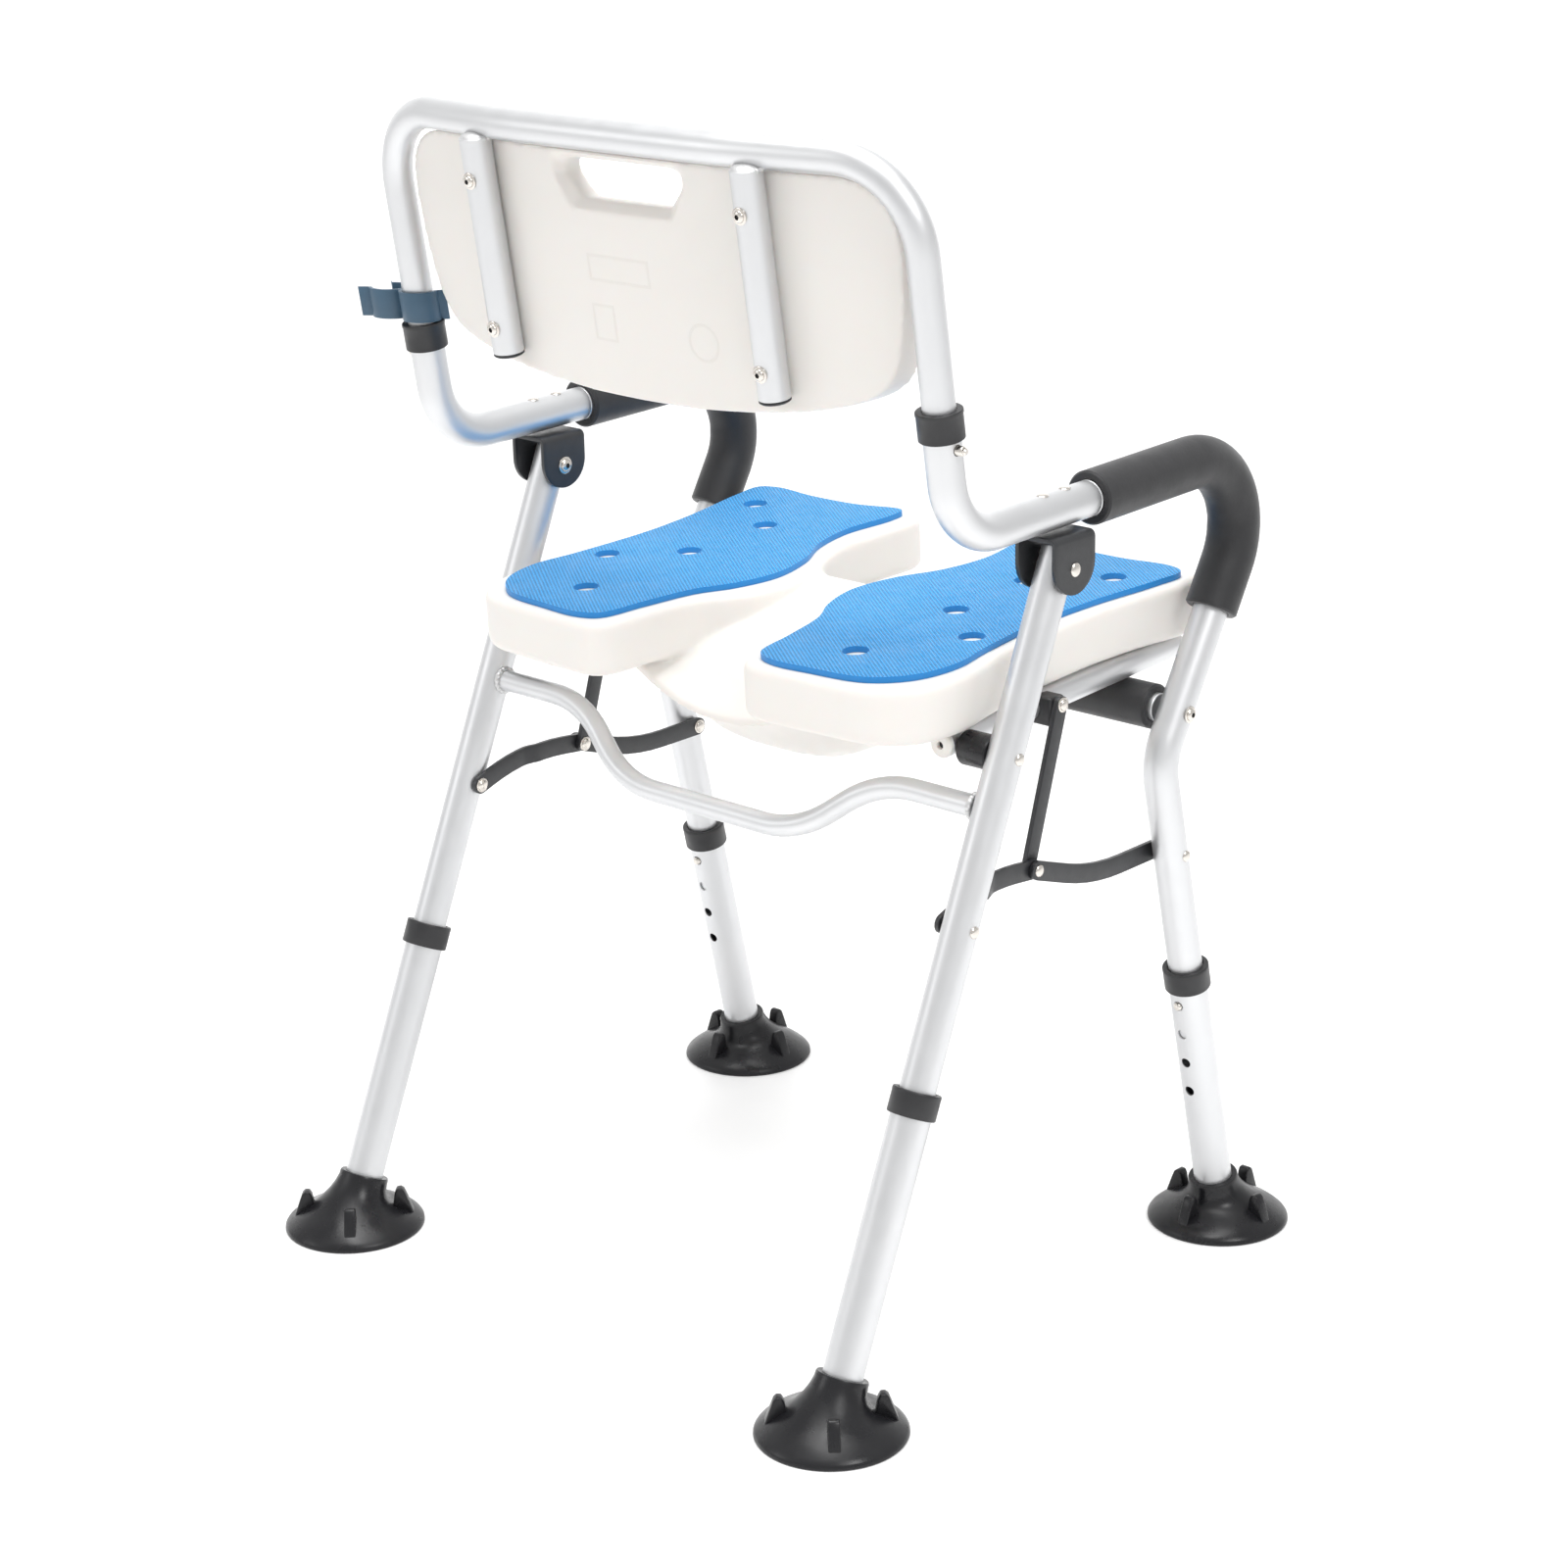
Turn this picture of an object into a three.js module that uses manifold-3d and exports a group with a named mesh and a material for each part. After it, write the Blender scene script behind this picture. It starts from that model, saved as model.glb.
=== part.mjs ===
// Folding shower chair with armrests: two bent side frames, a folding rear frame, a split
// blow-moulded seat with blue foam pads, a lift-out backrest and four telescopic legs.
// Millimetres, +Z up, sitter faces -Y, sitter's right is -X.  Side "R" is at -X, "L" at +X.
import * as THREE from 'three';
import { mergeVertices } from 'three/addons/utils/BufferGeometryUtils.js';
import Module from 'manifold-3d';

const wasm = await Module();
wasm.setup();

// ------------------------------------------------------------------ driving dimensions
const SIDE_X = 247.5;          // lateral position of the tubes of each side frame
const TUBE_R = 12.7;           // 25.4 mm frame tube
const SLEEVE_R = 14.3;         // 28.6 mm telescopic leg sleeve
const BACK_R = 11.1;           // 22.2 mm backrest tube
const CROSS_BAR_R = 8;         // 16 mm rear cross bar
const TUBE_WALL = 1.2;
const SLIDE_GAP = 0.3;         // radial gap of one tube sliding in another
const FIT_GAP = 0.15;          // gap left between pieces that touch

// Joints of a side frame, in its own plane.
const FOLD_PIVOT = { y: -16.4, z: 557 };     // rear frame turns here, under the arms
const SEAT_PIVOT = { y: -155, z: 421 };      // seat turns here, on the front frame
const FRONT_STRUT_PIVOT = { y: -154.3, z: 314 };
const REAR_STRUT_PIVOT = { y: 84, z: 325 };
const STRUT_MIDDLE = { y: -18, z: 334.7 };   // where both struts and the lift link meet
const LINK_TOP = { y: -53, z: 446 };

const REAR_LEG_ANKLE = { y: 209.3, z: 36 };
const FRONT_LEG_KNEE = { y: -136, z: 388 };
const FRONT_LEG_ANKLE = { y: -213.6, z: 36 };
const ARM_CORNER = { y: -263, z: 602.8 };    // where the arm line meets the front leg line
const ARM_BEND = 54;
const ELBOW_CORNER = { y: 89.7, z: 592.9 };  // where the arm line meets the backrest line
const ELBOW_BEND = 48;
const ARM_JOINT_Y = -51;                     // end of the elbow tube, start of the front leg
const GRIP_R = 19;
const GRIP_LOW_Z = 487.5;
const SOCKET_TOP = { y: 103.2, z: 683 };
const SOCKET_COLLAR_Z = 665;

const BRACKET_HALF = 21.5;     // half length of the arm bracket, and radius of its ears
const BRACKET_TOP_Z = 581;
const EAR_INNER = TUBE_R + 1.5;
const EAR_OUTER = EAR_INNER + 3;
const SEAT_STOP_Z = 435.2;

const LEG_TUBE_LOW_Z = 165;    // the frame tubes end here, inside the sleeves
const SLEEVE_TOP_Z = 219;
const SLEEVE_LOW_Z = 14;
const LEG_TRAVEL = 75;         // three pitches of the height holes
const HOLE_R = 3.9;
const BUTTON_R = 3.4;
const BUTTON_BELOW_TOP = 26;   // along the leg, from the sleeve's top to the snap button
const FOOT_R = 53.5;
const FOOT_Y = 220.5;
const FOOT_NECK_R = 19;
const FOOT_NECK_TOP_Z = 39;

// Layers of the folding linkage, as distances inboard of the side frame's plane.
const STRUT_THICK = 3.4;
const STRUT_HALF = 7;
const FRONT_STRUT_IN = TUBE_R + 1;
const REAR_STRUT_IN = FRONT_STRUT_IN + 4;
const LINK_IN = REAR_STRUT_IN + 4;
const LINK_THICK = 4;
const LINK_HALF = 6;
const STRUT_STEP_Y = 32;       // the rear strut steps outboard behind this, to meet its leg
const RIVET_HOLE_R = 3.2;

const SEAT_TILT = 0.05;        // rise of the seat towards the front, as a slope
const SEAT_BOTTOM_Z = 449.9;   // underside of the seat lobes at y = 0
const SEAT_THICK = 41.8;
const SEAT_EDGE = 6;
const PAD_THICK = 4.5;
const RAIL_X = 202;
const RAIL_R = 9.5;
const RAIL_BELOW = 10.2;       // rail centre below the underside of the lobes
const ROLL_R = 16.5;

const BACK_TOP_Z = 843;
const BACK_HALF_WIDTH = 248;
const BACK_LOW_Z = 640;
const BACK_BOW = 21;           // how far the top bar bows to the rear
const BACK_BUTTON_Z = 659;
const SUPPORT_X = 128;
const SUPPORT_BEHIND = 25.8;   // support tubes behind the plane of the backrest's side tubes
const SUPPORT_LOW_Z = 680.5;
const PANEL_THICK = 22;
const PANEL_CURVE = 0.0004;    // how fast the panel curves forward towards its sides

const CLIP_LOW_Z = 685.5;
const CLIP_HEIGHT = 22;
const CLIP_WALL = 2.6;
const CLIP_JAW_R = 13.5;
const CLIP_JAW_X = 30.5;       // from the backrest tube to the middle of the jaws

const ROUND = 12;              // facets round a tube
const ARC_STEP = 18;           // degrees of bend per facet

// ------------------------------------------------------------------ looks
const look = (colour, roughness, metalness) => () => new THREE.MeshStandardMaterial({
  color: colour, roughness, metalness,
});
const LOOK = {
  aluminium: look(0xd3d5d8, 0.34, 0.9),
  steel: look(0xb9b4ab, 0.25, 1),
  shell: look(0xe9e5da, 0.5, 0),
  pad: look(0x2b86ee, 0.75, 0),
  blackPlastic: look(0x17181a, 0.5, 0),
  blackSteel: look(0x232326, 0.45, 0.4),
  foam: look(0x1b1c1e, 0.85, 0),
  rubber: look(0x1c1d20, 0.8, 0),
  clip: look(0x2b4a66, 0.5, 0),
};

const chair = new THREE.Group();
chair.name = 'folding_shower_chair';

function nest(parent, name) {
  const group = new THREE.Group();
  group.name = name;
  parent.add(group);
  return group;
}

function add(parent, name, geometry, makeLook) {
  const mesh = new THREE.Mesh(geometry, makeLook());
  mesh.name = name;
  parent.add(mesh);
  return mesh;
}

// ------------------------------------------------------------------ solids and booleans
function toSolid(geometry) {
  const bare = new THREE.BufferGeometry();
  bare.setAttribute('position', geometry.getAttribute('position').clone());
  if (geometry.index) bare.setIndex(geometry.index.clone());
  const merged = mergeVertices(bare, 1e-4);
  return new wasm.Manifold(new wasm.Mesh({
    numProp: 3,
    vertProperties: Float32Array.from(merged.getAttribute('position').array),
    triVerts: Uint32Array.from(merged.index.array),
  }));
}

function toGeometry(solid) {
  const mesh = solid.getMesh();
  const geometry = new THREE.BufferGeometry();
  geometry.setAttribute('position', new THREE.BufferAttribute(mesh.vertProperties, 3));
  geometry.setIndex(new THREE.BufferAttribute(mesh.triVerts, 1));
  geometry.computeVertexNormals();
  return geometry;
}

const subtract = (geometry, ...tools) => toGeometry(
  tools.reduce((body, tool) => body.subtract(toSolid(tool)), toSolid(geometry)),
);
const unite = (geometry, ...others) => toGeometry(
  others.reduce((body, other) => body.add(toSolid(other)), toSolid(geometry)),
);
const intersect = (a, b) => toGeometry(toSolid(a).intersect(toSolid(b)));

function mirrored(geometry) {
  const copy = toGeometry(toSolid(geometry));
  copy.scale(-1, 1, 1);
  const index = copy.index.array;
  for (let i = 0; i < index.length; i += 3) {
    [index[i], index[i + 1]] = [index[i + 1], index[i]];
  }
  return copy;
}

// ------------------------------------------------------------------ bent tubes
// A path through corner points, each inner corner rounded with its own radius.
class BentPath extends THREE.Curve {
  constructor(corners, arcStep = ARC_STEP) {
    super();
    this.stations = [];
    const last = corners.length - 1;
    corners.forEach((corner, i) => {
      if (i === 0 || i === last || !corner.r) {
        this.stations.push(corner.p.clone());
        return;
      }
      const into = corner.p.clone().sub(corners[i - 1].p).normalize();
      const out = corners[i + 1].p.clone().sub(corner.p).normalize();
      const turn = into.angleTo(out);
      const start = corner.p.clone().addScaledVector(into, -corner.r * Math.tan(turn / 2));
      const side = out.clone().addScaledVector(into, -out.dot(into)).normalize();
      const steps = Math.max(2, Math.ceil(THREE.MathUtils.radToDeg(turn) / arcStep));
      for (let k = 0; k <= steps; k += 1) {
        const a = (turn * k) / steps;
        this.stations.push(start.clone()
          .addScaledVector(into, corner.r * Math.sin(a))
          .addScaledVector(side, corner.r * (1 - Math.cos(a))));
      }
    });
    this.count = this.stations.length - 1;
  }

  getPointAt(u) {
    return this.stations[Math.round(u * this.count)].clone();
  }

  getPoint(u) {
    return this.getPointAt(u);
  }

  getSpacedPoints() {
    return this.stations.map((p) => p.clone());
  }

  getTangentAt(u) {
    const i = Math.round(u * this.count);
    const before = this.stations[Math.max(0, i - 1)];
    const here = this.stations[i];
    const after = this.stations[Math.min(this.count, i + 1)];
    const into = i === 0 ? after.clone().sub(here) : here.clone().sub(before);
    const out = i === this.count ? into.clone() : after.clone().sub(here);
    return into.normalize().add(out.normalize()).normalize();
  }
}

function ring(radius, facets = ROUND) {
  return Array.from({ length: facets }, (_, i) => {
    const a = (2 * Math.PI * i) / facets;
    return new THREE.Vector2(radius * Math.cos(a), radius * Math.sin(a));
  });
}

function tube(corners, radius, innerRadius = 0, facets = ROUND) {
  const path = new BentPath(corners);
  const shape = new THREE.Shape(ring(radius, facets));
  if (innerRadius > 0) shape.holes.push(new THREE.Path(ring(innerRadius, facets).reverse()));
  const swept = new THREE.ExtrudeGeometry(shape, {
    steps: path.count, bevelEnabled: false, extrudePath: path,
  });
  return toGeometry(toSolid(swept));
}

const point = (x, y, z) => new THREE.Vector3(x, y, z);
const rod = (from, to, radius, innerRadius = 0, facets = ROUND) => tube(
  [{ p: from }, { p: to }], radius, innerRadius, facets,
);
const box = (x, y, z, sx, sy, sz) => new THREE.BoxGeometry(sx, sy, sz).translate(x, y, z);

// A bore of few facets that clears a round of that radius.
const clearing = (radius, facets = ROUND) => (radius + FIT_GAP) / Math.cos(Math.PI / facets);

// In a side frame's own plane: a tube corner, and a pin across the plane.
const corner = (p, r = 0) => ({ p: point(0, p.y, p.z), r });
const pin = (x0, x1, p, radius, facets = 12) => rod(
  point(x0, p.y, p.z), point(x1, p.y, p.z), radius, 0, facets,
);

// An outline in the (y, z) plane, extruded from x0 to x1.
function plate(shape, x0, x1) {
  const geometry = new THREE.ExtrudeGeometry(shape, {
    depth: Math.abs(x1 - x0), bevelEnabled: false, curveSegments: 6,
  });
  const toSide = new THREE.Matrix4().makeBasis(point(0, 1, 0), point(0, 0, 1), point(1, 0, 0));
  return geometry.applyMatrix4(toSide).translate(Math.min(x0, x1), 0, 0);
}

// An outline in the (x, z) plane, extruded through the depth from y0 to y1.
function upright(shape, y0, y1) {
  return new THREE.ExtrudeGeometry(shape, {
    depth: y1 - y0, bevelEnabled: false, curveSegments: 5,
  }).rotateX(Math.PI / 2).translate(0, y1, 0);
}

const lerp = (a, b, t) => ({ y: a.y + (b.y - a.y) * t, z: a.z + (b.z - a.z) * t });
const atHeight = (a, b, z) => lerp(a, b, (z - a.z) / (b.z - a.z));
const along = (a, b, distance) => lerp(a, b, distance / Math.hypot(b.y - a.y, b.z - a.z));

// ------------------------------------------------------------------ lines of the side frames
const rearLegTop = along(FOLD_PIVOT, REAR_LEG_ANKLE, -12);
const LEGS = {
  rear: { high: FOLD_PIVOT, low: REAR_LEG_ANKLE, facing: -1, footY: FOOT_Y, tabTurn: 0.5 },
  front: { high: FRONT_LEG_KNEE, low: FRONT_LEG_ANKLE, facing: 1, footY: -FOOT_Y, tabTurn: 0 },
};
const onLeg = (leg, z) => atHeight(leg.high, leg.low, z);
const onRearLeg = (z) => onLeg(LEGS.rear, z);
const armAt = (y) => lerp(ELBOW_CORNER, ARM_CORNER,
  (y - ELBOW_CORNER.y) / (ARM_CORNER.y - ELBOW_CORNER.y));
const rearLegCore = (radius) => tube([corner(rearLegTop), corner(REAR_LEG_ANKLE)], radius);

// Snap button axis of a leg: its centre on the leg and the way it points, square to the leg.
function buttonAxis(leg, below = 0) {
  const top = onLeg(leg, SLEEVE_TOP_Z);
  const length = Math.hypot(leg.low.y - leg.high.y, leg.low.z - leg.high.z);
  const down = { y: (leg.low.y - leg.high.y) / length, z: (leg.low.z - leg.high.z) / length };
  const reach = BUTTON_BELOW_TOP + below;
  return {
    centre: { y: top.y + down.y * reach, z: top.z + down.z * reach },
    out: { y: -down.z * leg.facing, z: down.y * leg.facing },
  };
}

const outAlong = (axis, reach) => ({
  y: axis.centre.y + axis.out.y * reach, z: axis.centre.z + axis.out.z * reach,
});

function radialPin(axis, from, to, radius, facets = 8) {
  const a = outAlong(axis, from);
  const b = outAlong(axis, to);
  return rod(point(0, a.y, a.z), point(0, b.y, b.z), radius, 0, facets);
}

// Slot the snap button travels in: the height holes of the sleeve joined into one.
function heightSlot(leg) {
  const high = buttonAxis(leg);
  const low = buttonAxis(leg, LEG_TRAVEL);
  const half = HOLE_R * Math.cos(Math.PI / 8);
  const middle = new THREE.Shape([
    outAlong(high, 5), outAlong(high, 20), outAlong(low, 20), outAlong(low, 5),
  ].map((p) => new THREE.Vector2(p.y, p.z)));
  return unite(
    plate(middle, -half, half),
    radialPin(high, 5, 20, HOLE_R),
    radialPin(low, 5, 20, HOLE_R),
  );
}

// ------------------------------------------------------------------ side frame pieces
// Each takes its side's group, whose origin is in the plane of the side frame, the side's
// name and its sign: `out(d)` is the x that lies d outboard of that plane.
function addElbow(side, name, out) {
  const rivets = [-2.3, -25.8].map((y) => rod(
    point(0, y, armAt(y).z + TUBE_R - 1.2), point(0, y, armAt(y).z + TUBE_R + 1), 4.2, 0, 8,
  ));
  const tubeCore = tube([corner(armAt(40)), corner(armAt(-60))], TUBE_R - 0.6);
  const socket = atHeight(ELBOW_CORNER, SOCKET_TOP, BACK_BUTTON_Z);
  add(side, `elbow_tube_${name}`, subtract(
    unite(
      tube([corner(SOCKET_TOP), corner(ELBOW_CORNER, ELBOW_BEND), corner(armAt(ARM_JOINT_Y))],
        TUBE_R, TUBE_R - TUBE_WALL),
      ...rivets.map((rivet) => subtract(rivet, tubeCore)),
    ),
    pin(out(5), out(20), socket, HOLE_R, 8),
  ), LOOK.aluminium);

  const collarLow = atHeight(ELBOW_CORNER, SOCKET_TOP, SOCKET_COLLAR_Z);
  const collarTop = atHeight(ELBOW_CORNER, SOCKET_TOP, SOCKET_TOP.z + 1.5);
  add(side, `socket_collar_${name}`, rod(point(0, collarLow.y, collarLow.z),
    point(0, collarTop.y, collarTop.z), 15.6, clearing(TUBE_R, 16), 16), LOOK.blackPlastic);
}

// Front leg: necked spigot inside the elbow, arm, front bend, knee, lower end.
function addFrontLeg(side, name, out) {
  const neck = TUBE_R - TUBE_WALL - FIT_GAP;
  const spigot = tube([corner(armAt(12)), corner(armAt(ARM_JOINT_Y - 8))], neck, neck - TUBE_WALL);
  const leg = tube([
    corner(armAt(ARM_JOINT_Y - FIT_GAP)), corner(ARM_CORNER, ARM_BEND),
    corner(FRONT_LEG_KNEE, 45), corner(onLeg(LEGS.front, LEG_TUBE_LOW_Z)),
  ], TUBE_R, neck - 0.1);
  add(side, `front_leg_${name}`, subtract(
    unite(leg, spigot),
    pin(-20, 20, SEAT_PIVOT, 4.2),
    radialPin(buttonAxis(LEGS.front), 5, 20, HOLE_R),
  ), LOOK.aluminium);

  add(side, `arm_grip_${name}`, tube([
    corner(armAt(ARM_JOINT_Y - 1)), corner(ARM_CORNER, ARM_BEND),
    corner(atHeight(ARM_CORNER, FRONT_LEG_KNEE, GRIP_LOW_Z)),
  ], GRIP_R, TUBE_R + FIT_GAP), LOOK.foam);

  add(side, `seat_hinge_bolt_${name}`, unite(
    pin(out(-12.9), out(14), SEAT_PIVOT, 4),
    pin(out(TUBE_R + FIT_GAP), out(TUBE_R + 3.2), SEAT_PIVOT, 6.2),
  ), LOOK.steel);
}

// Folded bracket under the arm: flat top and two round-ended ears over the rear leg.
function addArmBracket(side, name, out) {
  const earZ = FOLD_PIVOT.z + 4;
  const ear = new THREE.Shape();
  ear.moveTo(FOLD_PIVOT.y - BRACKET_HALF, BRACKET_TOP_Z);
  ear.lineTo(FOLD_PIVOT.y - BRACKET_HALF, earZ);
  ear.absarc(FOLD_PIVOT.y, earZ, BRACKET_HALF, Math.PI, 2 * Math.PI, false);
  ear.lineTo(FOLD_PIVOT.y + BRACKET_HALF, BRACKET_TOP_Z);
  const underTop = BRACKET_TOP_Z - 2.6;
  add(side, `arm_bracket_${name}`, subtract(
    plate(ear, -EAR_OUTER, EAR_OUTER),
    box(0, FOLD_PIVOT.y, underTop - 40, 2 * EAR_INNER, 80, 80),
    pin(-30, 30, FOLD_PIVOT, 4.15),
  ), LOOK.blackSteel);

  add(side, `arm_pivot_bolt_${name}`, unite(
    pin(out(-EAR_OUTER - 5), out(EAR_OUTER + 0.3), FOLD_PIVOT, 3.95),
    pin(out(EAR_OUTER + FIT_GAP), out(EAR_OUTER + 2.6), FOLD_PIVOT, 7),
    pin(out(-EAR_OUTER - FIT_GAP), out(-EAR_OUTER - 5.4), FOLD_PIVOT, 6.6, 6),
  ), LOOK.steel);
}

function addRearLeg(side, name, out) {
  add(side, `rear_leg_${name}`, subtract(
    tube([corner(rearLegTop), corner(onRearLeg(LEG_TUBE_LOW_Z))], TUBE_R, TUBE_R - TUBE_WALL),
    pin(-20, 20, FOLD_PIVOT, 4.25),
    radialPin(buttonAxis(LEGS.rear), 5, 20, HOLE_R),
  ), LOOK.aluminium);

  add(side, `seat_stop_${name}`, subtract(
    pin(out(-9), out(-34), onRearLeg(SEAT_STOP_Z), 12.5, 20),
    rearLegCore(TUBE_R + FIT_GAP),
  ), LOOK.rubber);
}

// Telescopic end of a leg: sleeve, collar, suction foot, and the snap button in its slot.
function addLegEnd(side, name, leg) {
  add(side, `leg_sleeve_${name}`, subtract(
    tube([corner(onLeg(leg, SLEEVE_TOP_Z)), corner(onLeg(leg, SLEEVE_LOW_Z))],
      SLEEVE_R, TUBE_R + SLIDE_GAP),
    heightSlot(leg),
  ), LOOK.aluminium);

  add(side, `leg_collar_${name}`, tube([
    corner(onLeg(leg, SLEEVE_TOP_Z + 2.5)), corner(onLeg(leg, SLEEVE_TOP_Z - 15)),
  ], 17.2, SLEEVE_R + FIT_GAP), LOOK.blackPlastic);

  // Flat sole, domed flange with four lift tabs, neck round the sleeve's end.
  const dome = new THREE.LatheGeometry([
    [0, 0], [FOOT_R, 0], [FOOT_R, 3.5], [FOOT_R - 5, 10], [42, 15], [32, 20], [23, 25.5], [0, 27],
  ].map(([radius, z]) => new THREE.Vector2(radius, z)), 24)
    .rotateX(Math.PI / 2).translate(0, leg.footY, 0);
  const tabs = [0, 1, 2, 3].map((i) => box(40, 0, 19, 12, 8, 20)
    .rotateZ((i + leg.tabTurn) * (Math.PI / 2)).translate(0, leg.footY, 0));
  const neck = tube([corner(onLeg(leg, FOOT_NECK_TOP_Z)), corner(onLeg(leg, 14))], FOOT_NECK_R);
  const sleeveBore = tube([corner(onLeg(leg, 70)), corner(onLeg(leg, SLEEVE_LOW_Z - 0.5))],
    SLEEVE_R + FIT_GAP);
  add(side, `suction_foot_${name}`, subtract(unite(dome, neck, ...tabs), sleeveBore), LOOK.rubber);

  add(side, `snap_button_${name}`,
    radialPin(buttonAxis(leg), 9.5, SLEEVE_R + 2.6, BUTTON_R), LOOK.steel);
}

// ------------------------------------------------------------------ folding linkage
// Outline of a strip of constant width along a path, round at both ends, with rivet holes.
function stripShape(corners, half) {
  const path = new BentPath(corners.map((c) => ({ p: point(c.y, c.z, 0), r: c.r })), 8);
  const stations = path.stations;
  const normals = stations.map((_, i) => {
    const t = path.getTangentAt(i / path.count);
    return new THREE.Vector2(-t.y, t.x).multiplyScalar(half);
  });
  const left = stations.map((p, i) => new THREE.Vector2(p.x + normals[i].x, p.y + normals[i].y));
  const right = stations.map((p, i) => new THREE.Vector2(p.x - normals[i].x, p.y - normals[i].y));
  const start = stations[0];
  const end = stations[stations.length - 1];
  const shape = new THREE.Shape();
  shape.moveTo(right[0].x, right[0].y);
  right.slice(1).forEach((p) => shape.lineTo(p.x, p.y));
  roundEnd(shape, end, right[right.length - 1], half);
  left.slice(0, -1).reverse().forEach((p) => shape.lineTo(p.x, p.y));
  roundEnd(shape, start, left[0], half);
  for (const eye of [start, end]) {
    const hole = new THREE.Path();
    hole.absarc(eye.x, eye.y, RIVET_HOLE_R, 0, 2 * Math.PI, true);
    shape.holes.push(hole);
  }
  return shape;
}

// Carries an outline round the half circle that starts at `from`.
function roundEnd(shape, centre, from, half) {
  const angle = Math.atan2(from.y - centre.y, from.x - centre.x);
  const nearlyHalfTurn = Math.PI - 0.02;
  shape.absarc(centre.x, centre.y, half, angle, angle + nearlyHalfTurn, false);
}

function addLinkage(side, name, out) {
  const frontShape = stripShape([
    FRONT_STRUT_PIVOT, { y: -80, z: 313.5, r: 60 }, STRUT_MIDDLE,
  ], STRUT_HALF);
  add(side, `front_strut_${name}`,
    plate(frontShape, out(-FRONT_STRUT_IN), out(-FRONT_STRUT_IN - STRUT_THICK)), LOOK.blackSteel);

  const rearShape = stripShape([
    REAR_STRUT_PIVOT, { y: 38, z: 340.5, r: 60 }, STRUT_MIDDLE,
  ], STRUT_HALF);
  const rearPart = (inboard, thick, y0, y1) => intersect(
    plate(rearShape, out(-inboard), out(-inboard - thick)),
    box(0, (y0 + y1) / 2, 330, 80, y1 - y0, 60),
  );
  const stepThick = REAR_STRUT_IN + STRUT_THICK - FRONT_STRUT_IN;
  add(side, `rear_strut_${name}`, unite(
    rearPart(FRONT_STRUT_IN, STRUT_THICK, STRUT_STEP_Y, 120),
    rearPart(FRONT_STRUT_IN, stepThick, STRUT_STEP_Y - 2, STRUT_STEP_Y + 2),
    rearPart(REAR_STRUT_IN, STRUT_THICK, -60, STRUT_STEP_Y),
  ), LOOK.blackSteel);

  add(side, `lift_link_${name}`, plate(stripShape([STRUT_MIDDLE, LINK_TOP], LINK_HALF),
    out(-LINK_IN), out(-LINK_IN - LINK_THICK)), LOOK.blackSteel);
}

for (const [name, s] of [['R', -1], ['L', 1]]) {
  const side = nest(chair, `side_${name}`);
  side.position.x = s * SIDE_X;
  const out = (d) => s * d;
  addElbow(side, name, out);
  addFrontLeg(side, name, out);
  addArmBracket(side, name, out);
  addRearLeg(side, name, out);
  addLegEnd(side, `rear_${name}`, LEGS.rear);
  addLegEnd(side, `front_${name}`, LEGS.front);
  addLinkage(side, name, out);
}

// ------------------------------------------------------------------ rear cross bar
// It lies in the plane of the rear legs and dips in the middle to clear the seat.
const barHigh = onRearLeg(400.5);
const barLow = onRearLeg(354.5);
const inBar = (x, p, r = 0) => ({ p: point(x, p.y, p.z), r });
add(chair, 'rear_cross_bar', subtract(
  tube([
    inBar(-SIDE_X, barHigh), inBar(-146, barHigh, 88), inBar(-84, barLow, 88),
    inBar(84, barLow, 88), inBar(146, barHigh, 88), inBar(SIDE_X, barHigh),
  ], CROSS_BAR_R),
  rearLegCore(TUBE_R + FIT_GAP).translate(-SIDE_X, 0, 0),
  rearLegCore(TUBE_R + FIT_GAP).translate(SIDE_X, 0, 0),
), LOOK.aluminium);

// ------------------------------------------------------------------ seat front tube
const frontTube = nest(chair, 'seat_front');
frontTube.position.set(0, SEAT_PIVOT.y, SEAT_PIVOT.z);
const acrossSeat = (reach, radius, innerRadius) => rod(
  point(-reach, 0, 0), point(reach, 0, 0), radius, innerRadius, 16,
);
const frontReach = SIDE_X - TUBE_R - 1;
add(frontTube, 'front_cross_tube', acrossSeat(frontReach, 10.5, 9), LOOK.aluminium);
add(frontTube, 'foam_roll', acrossSeat(frontReach - 3.5, ROLL_R, 10.5 + FIT_GAP), LOOK.foam);

// ------------------------------------------------------------------ seat
// The seat group's plane is the underside of the lobes, tipped up towards the front.
const seat = nest(chair, 'seat');
seat.position.z = SEAT_BOTTOM_Z;
seat.rotation.x = -Math.atan(SEAT_TILT);

function smoothOutline(points, steps) {
  const curve = new THREE.CatmullRomCurve3(
    points.map(([x, y]) => point(x, y, 0)), true, 'centripetal',
  );
  const round = curve.getPoints(steps).slice(0, -1);
  return new THREE.Shape(round.map((p) => new THREE.Vector2(p.x, p.y)));
}

// Outlines of the left lobe and its pad from above: front edge, outer side, rear, inner side.
const LOBE = [
  [60, -234], [110, -228], [160, -227], [200, -231], [219, -226],
  [221, -205], [213, -165], [207, -110], [208, -50], [215, 10], [221, 45],
  [213, 82], [190, 102], [150, 108], [105, 110], [75, 109], [64, 99],
  [59, 58], [50, 15], [32, -10], [24, -45], [30, -82], [45, -112], [55, -145], [54, -185],
  [52, -222],
];
const PAD = [
  [68, -224], [110, -216], [155, -215], [195, -219], [210, -212],
  [209, -185], [200, -125], [197, -70], [203, 0], [207, 38],
  [198, 70], [174, 92], [130, 99], [94, 100], [78, 92],
  [71, 57], [61, 15], [46, -12], [37, -48], [45, -88], [61, -120], [69, -160], [64, -208],
];
const DRAIN_HOLES = [[178, -174], [130, -134], [132, -52], [180, -12], [133, 56]];
const DRAIN_R = 9.5;

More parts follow.
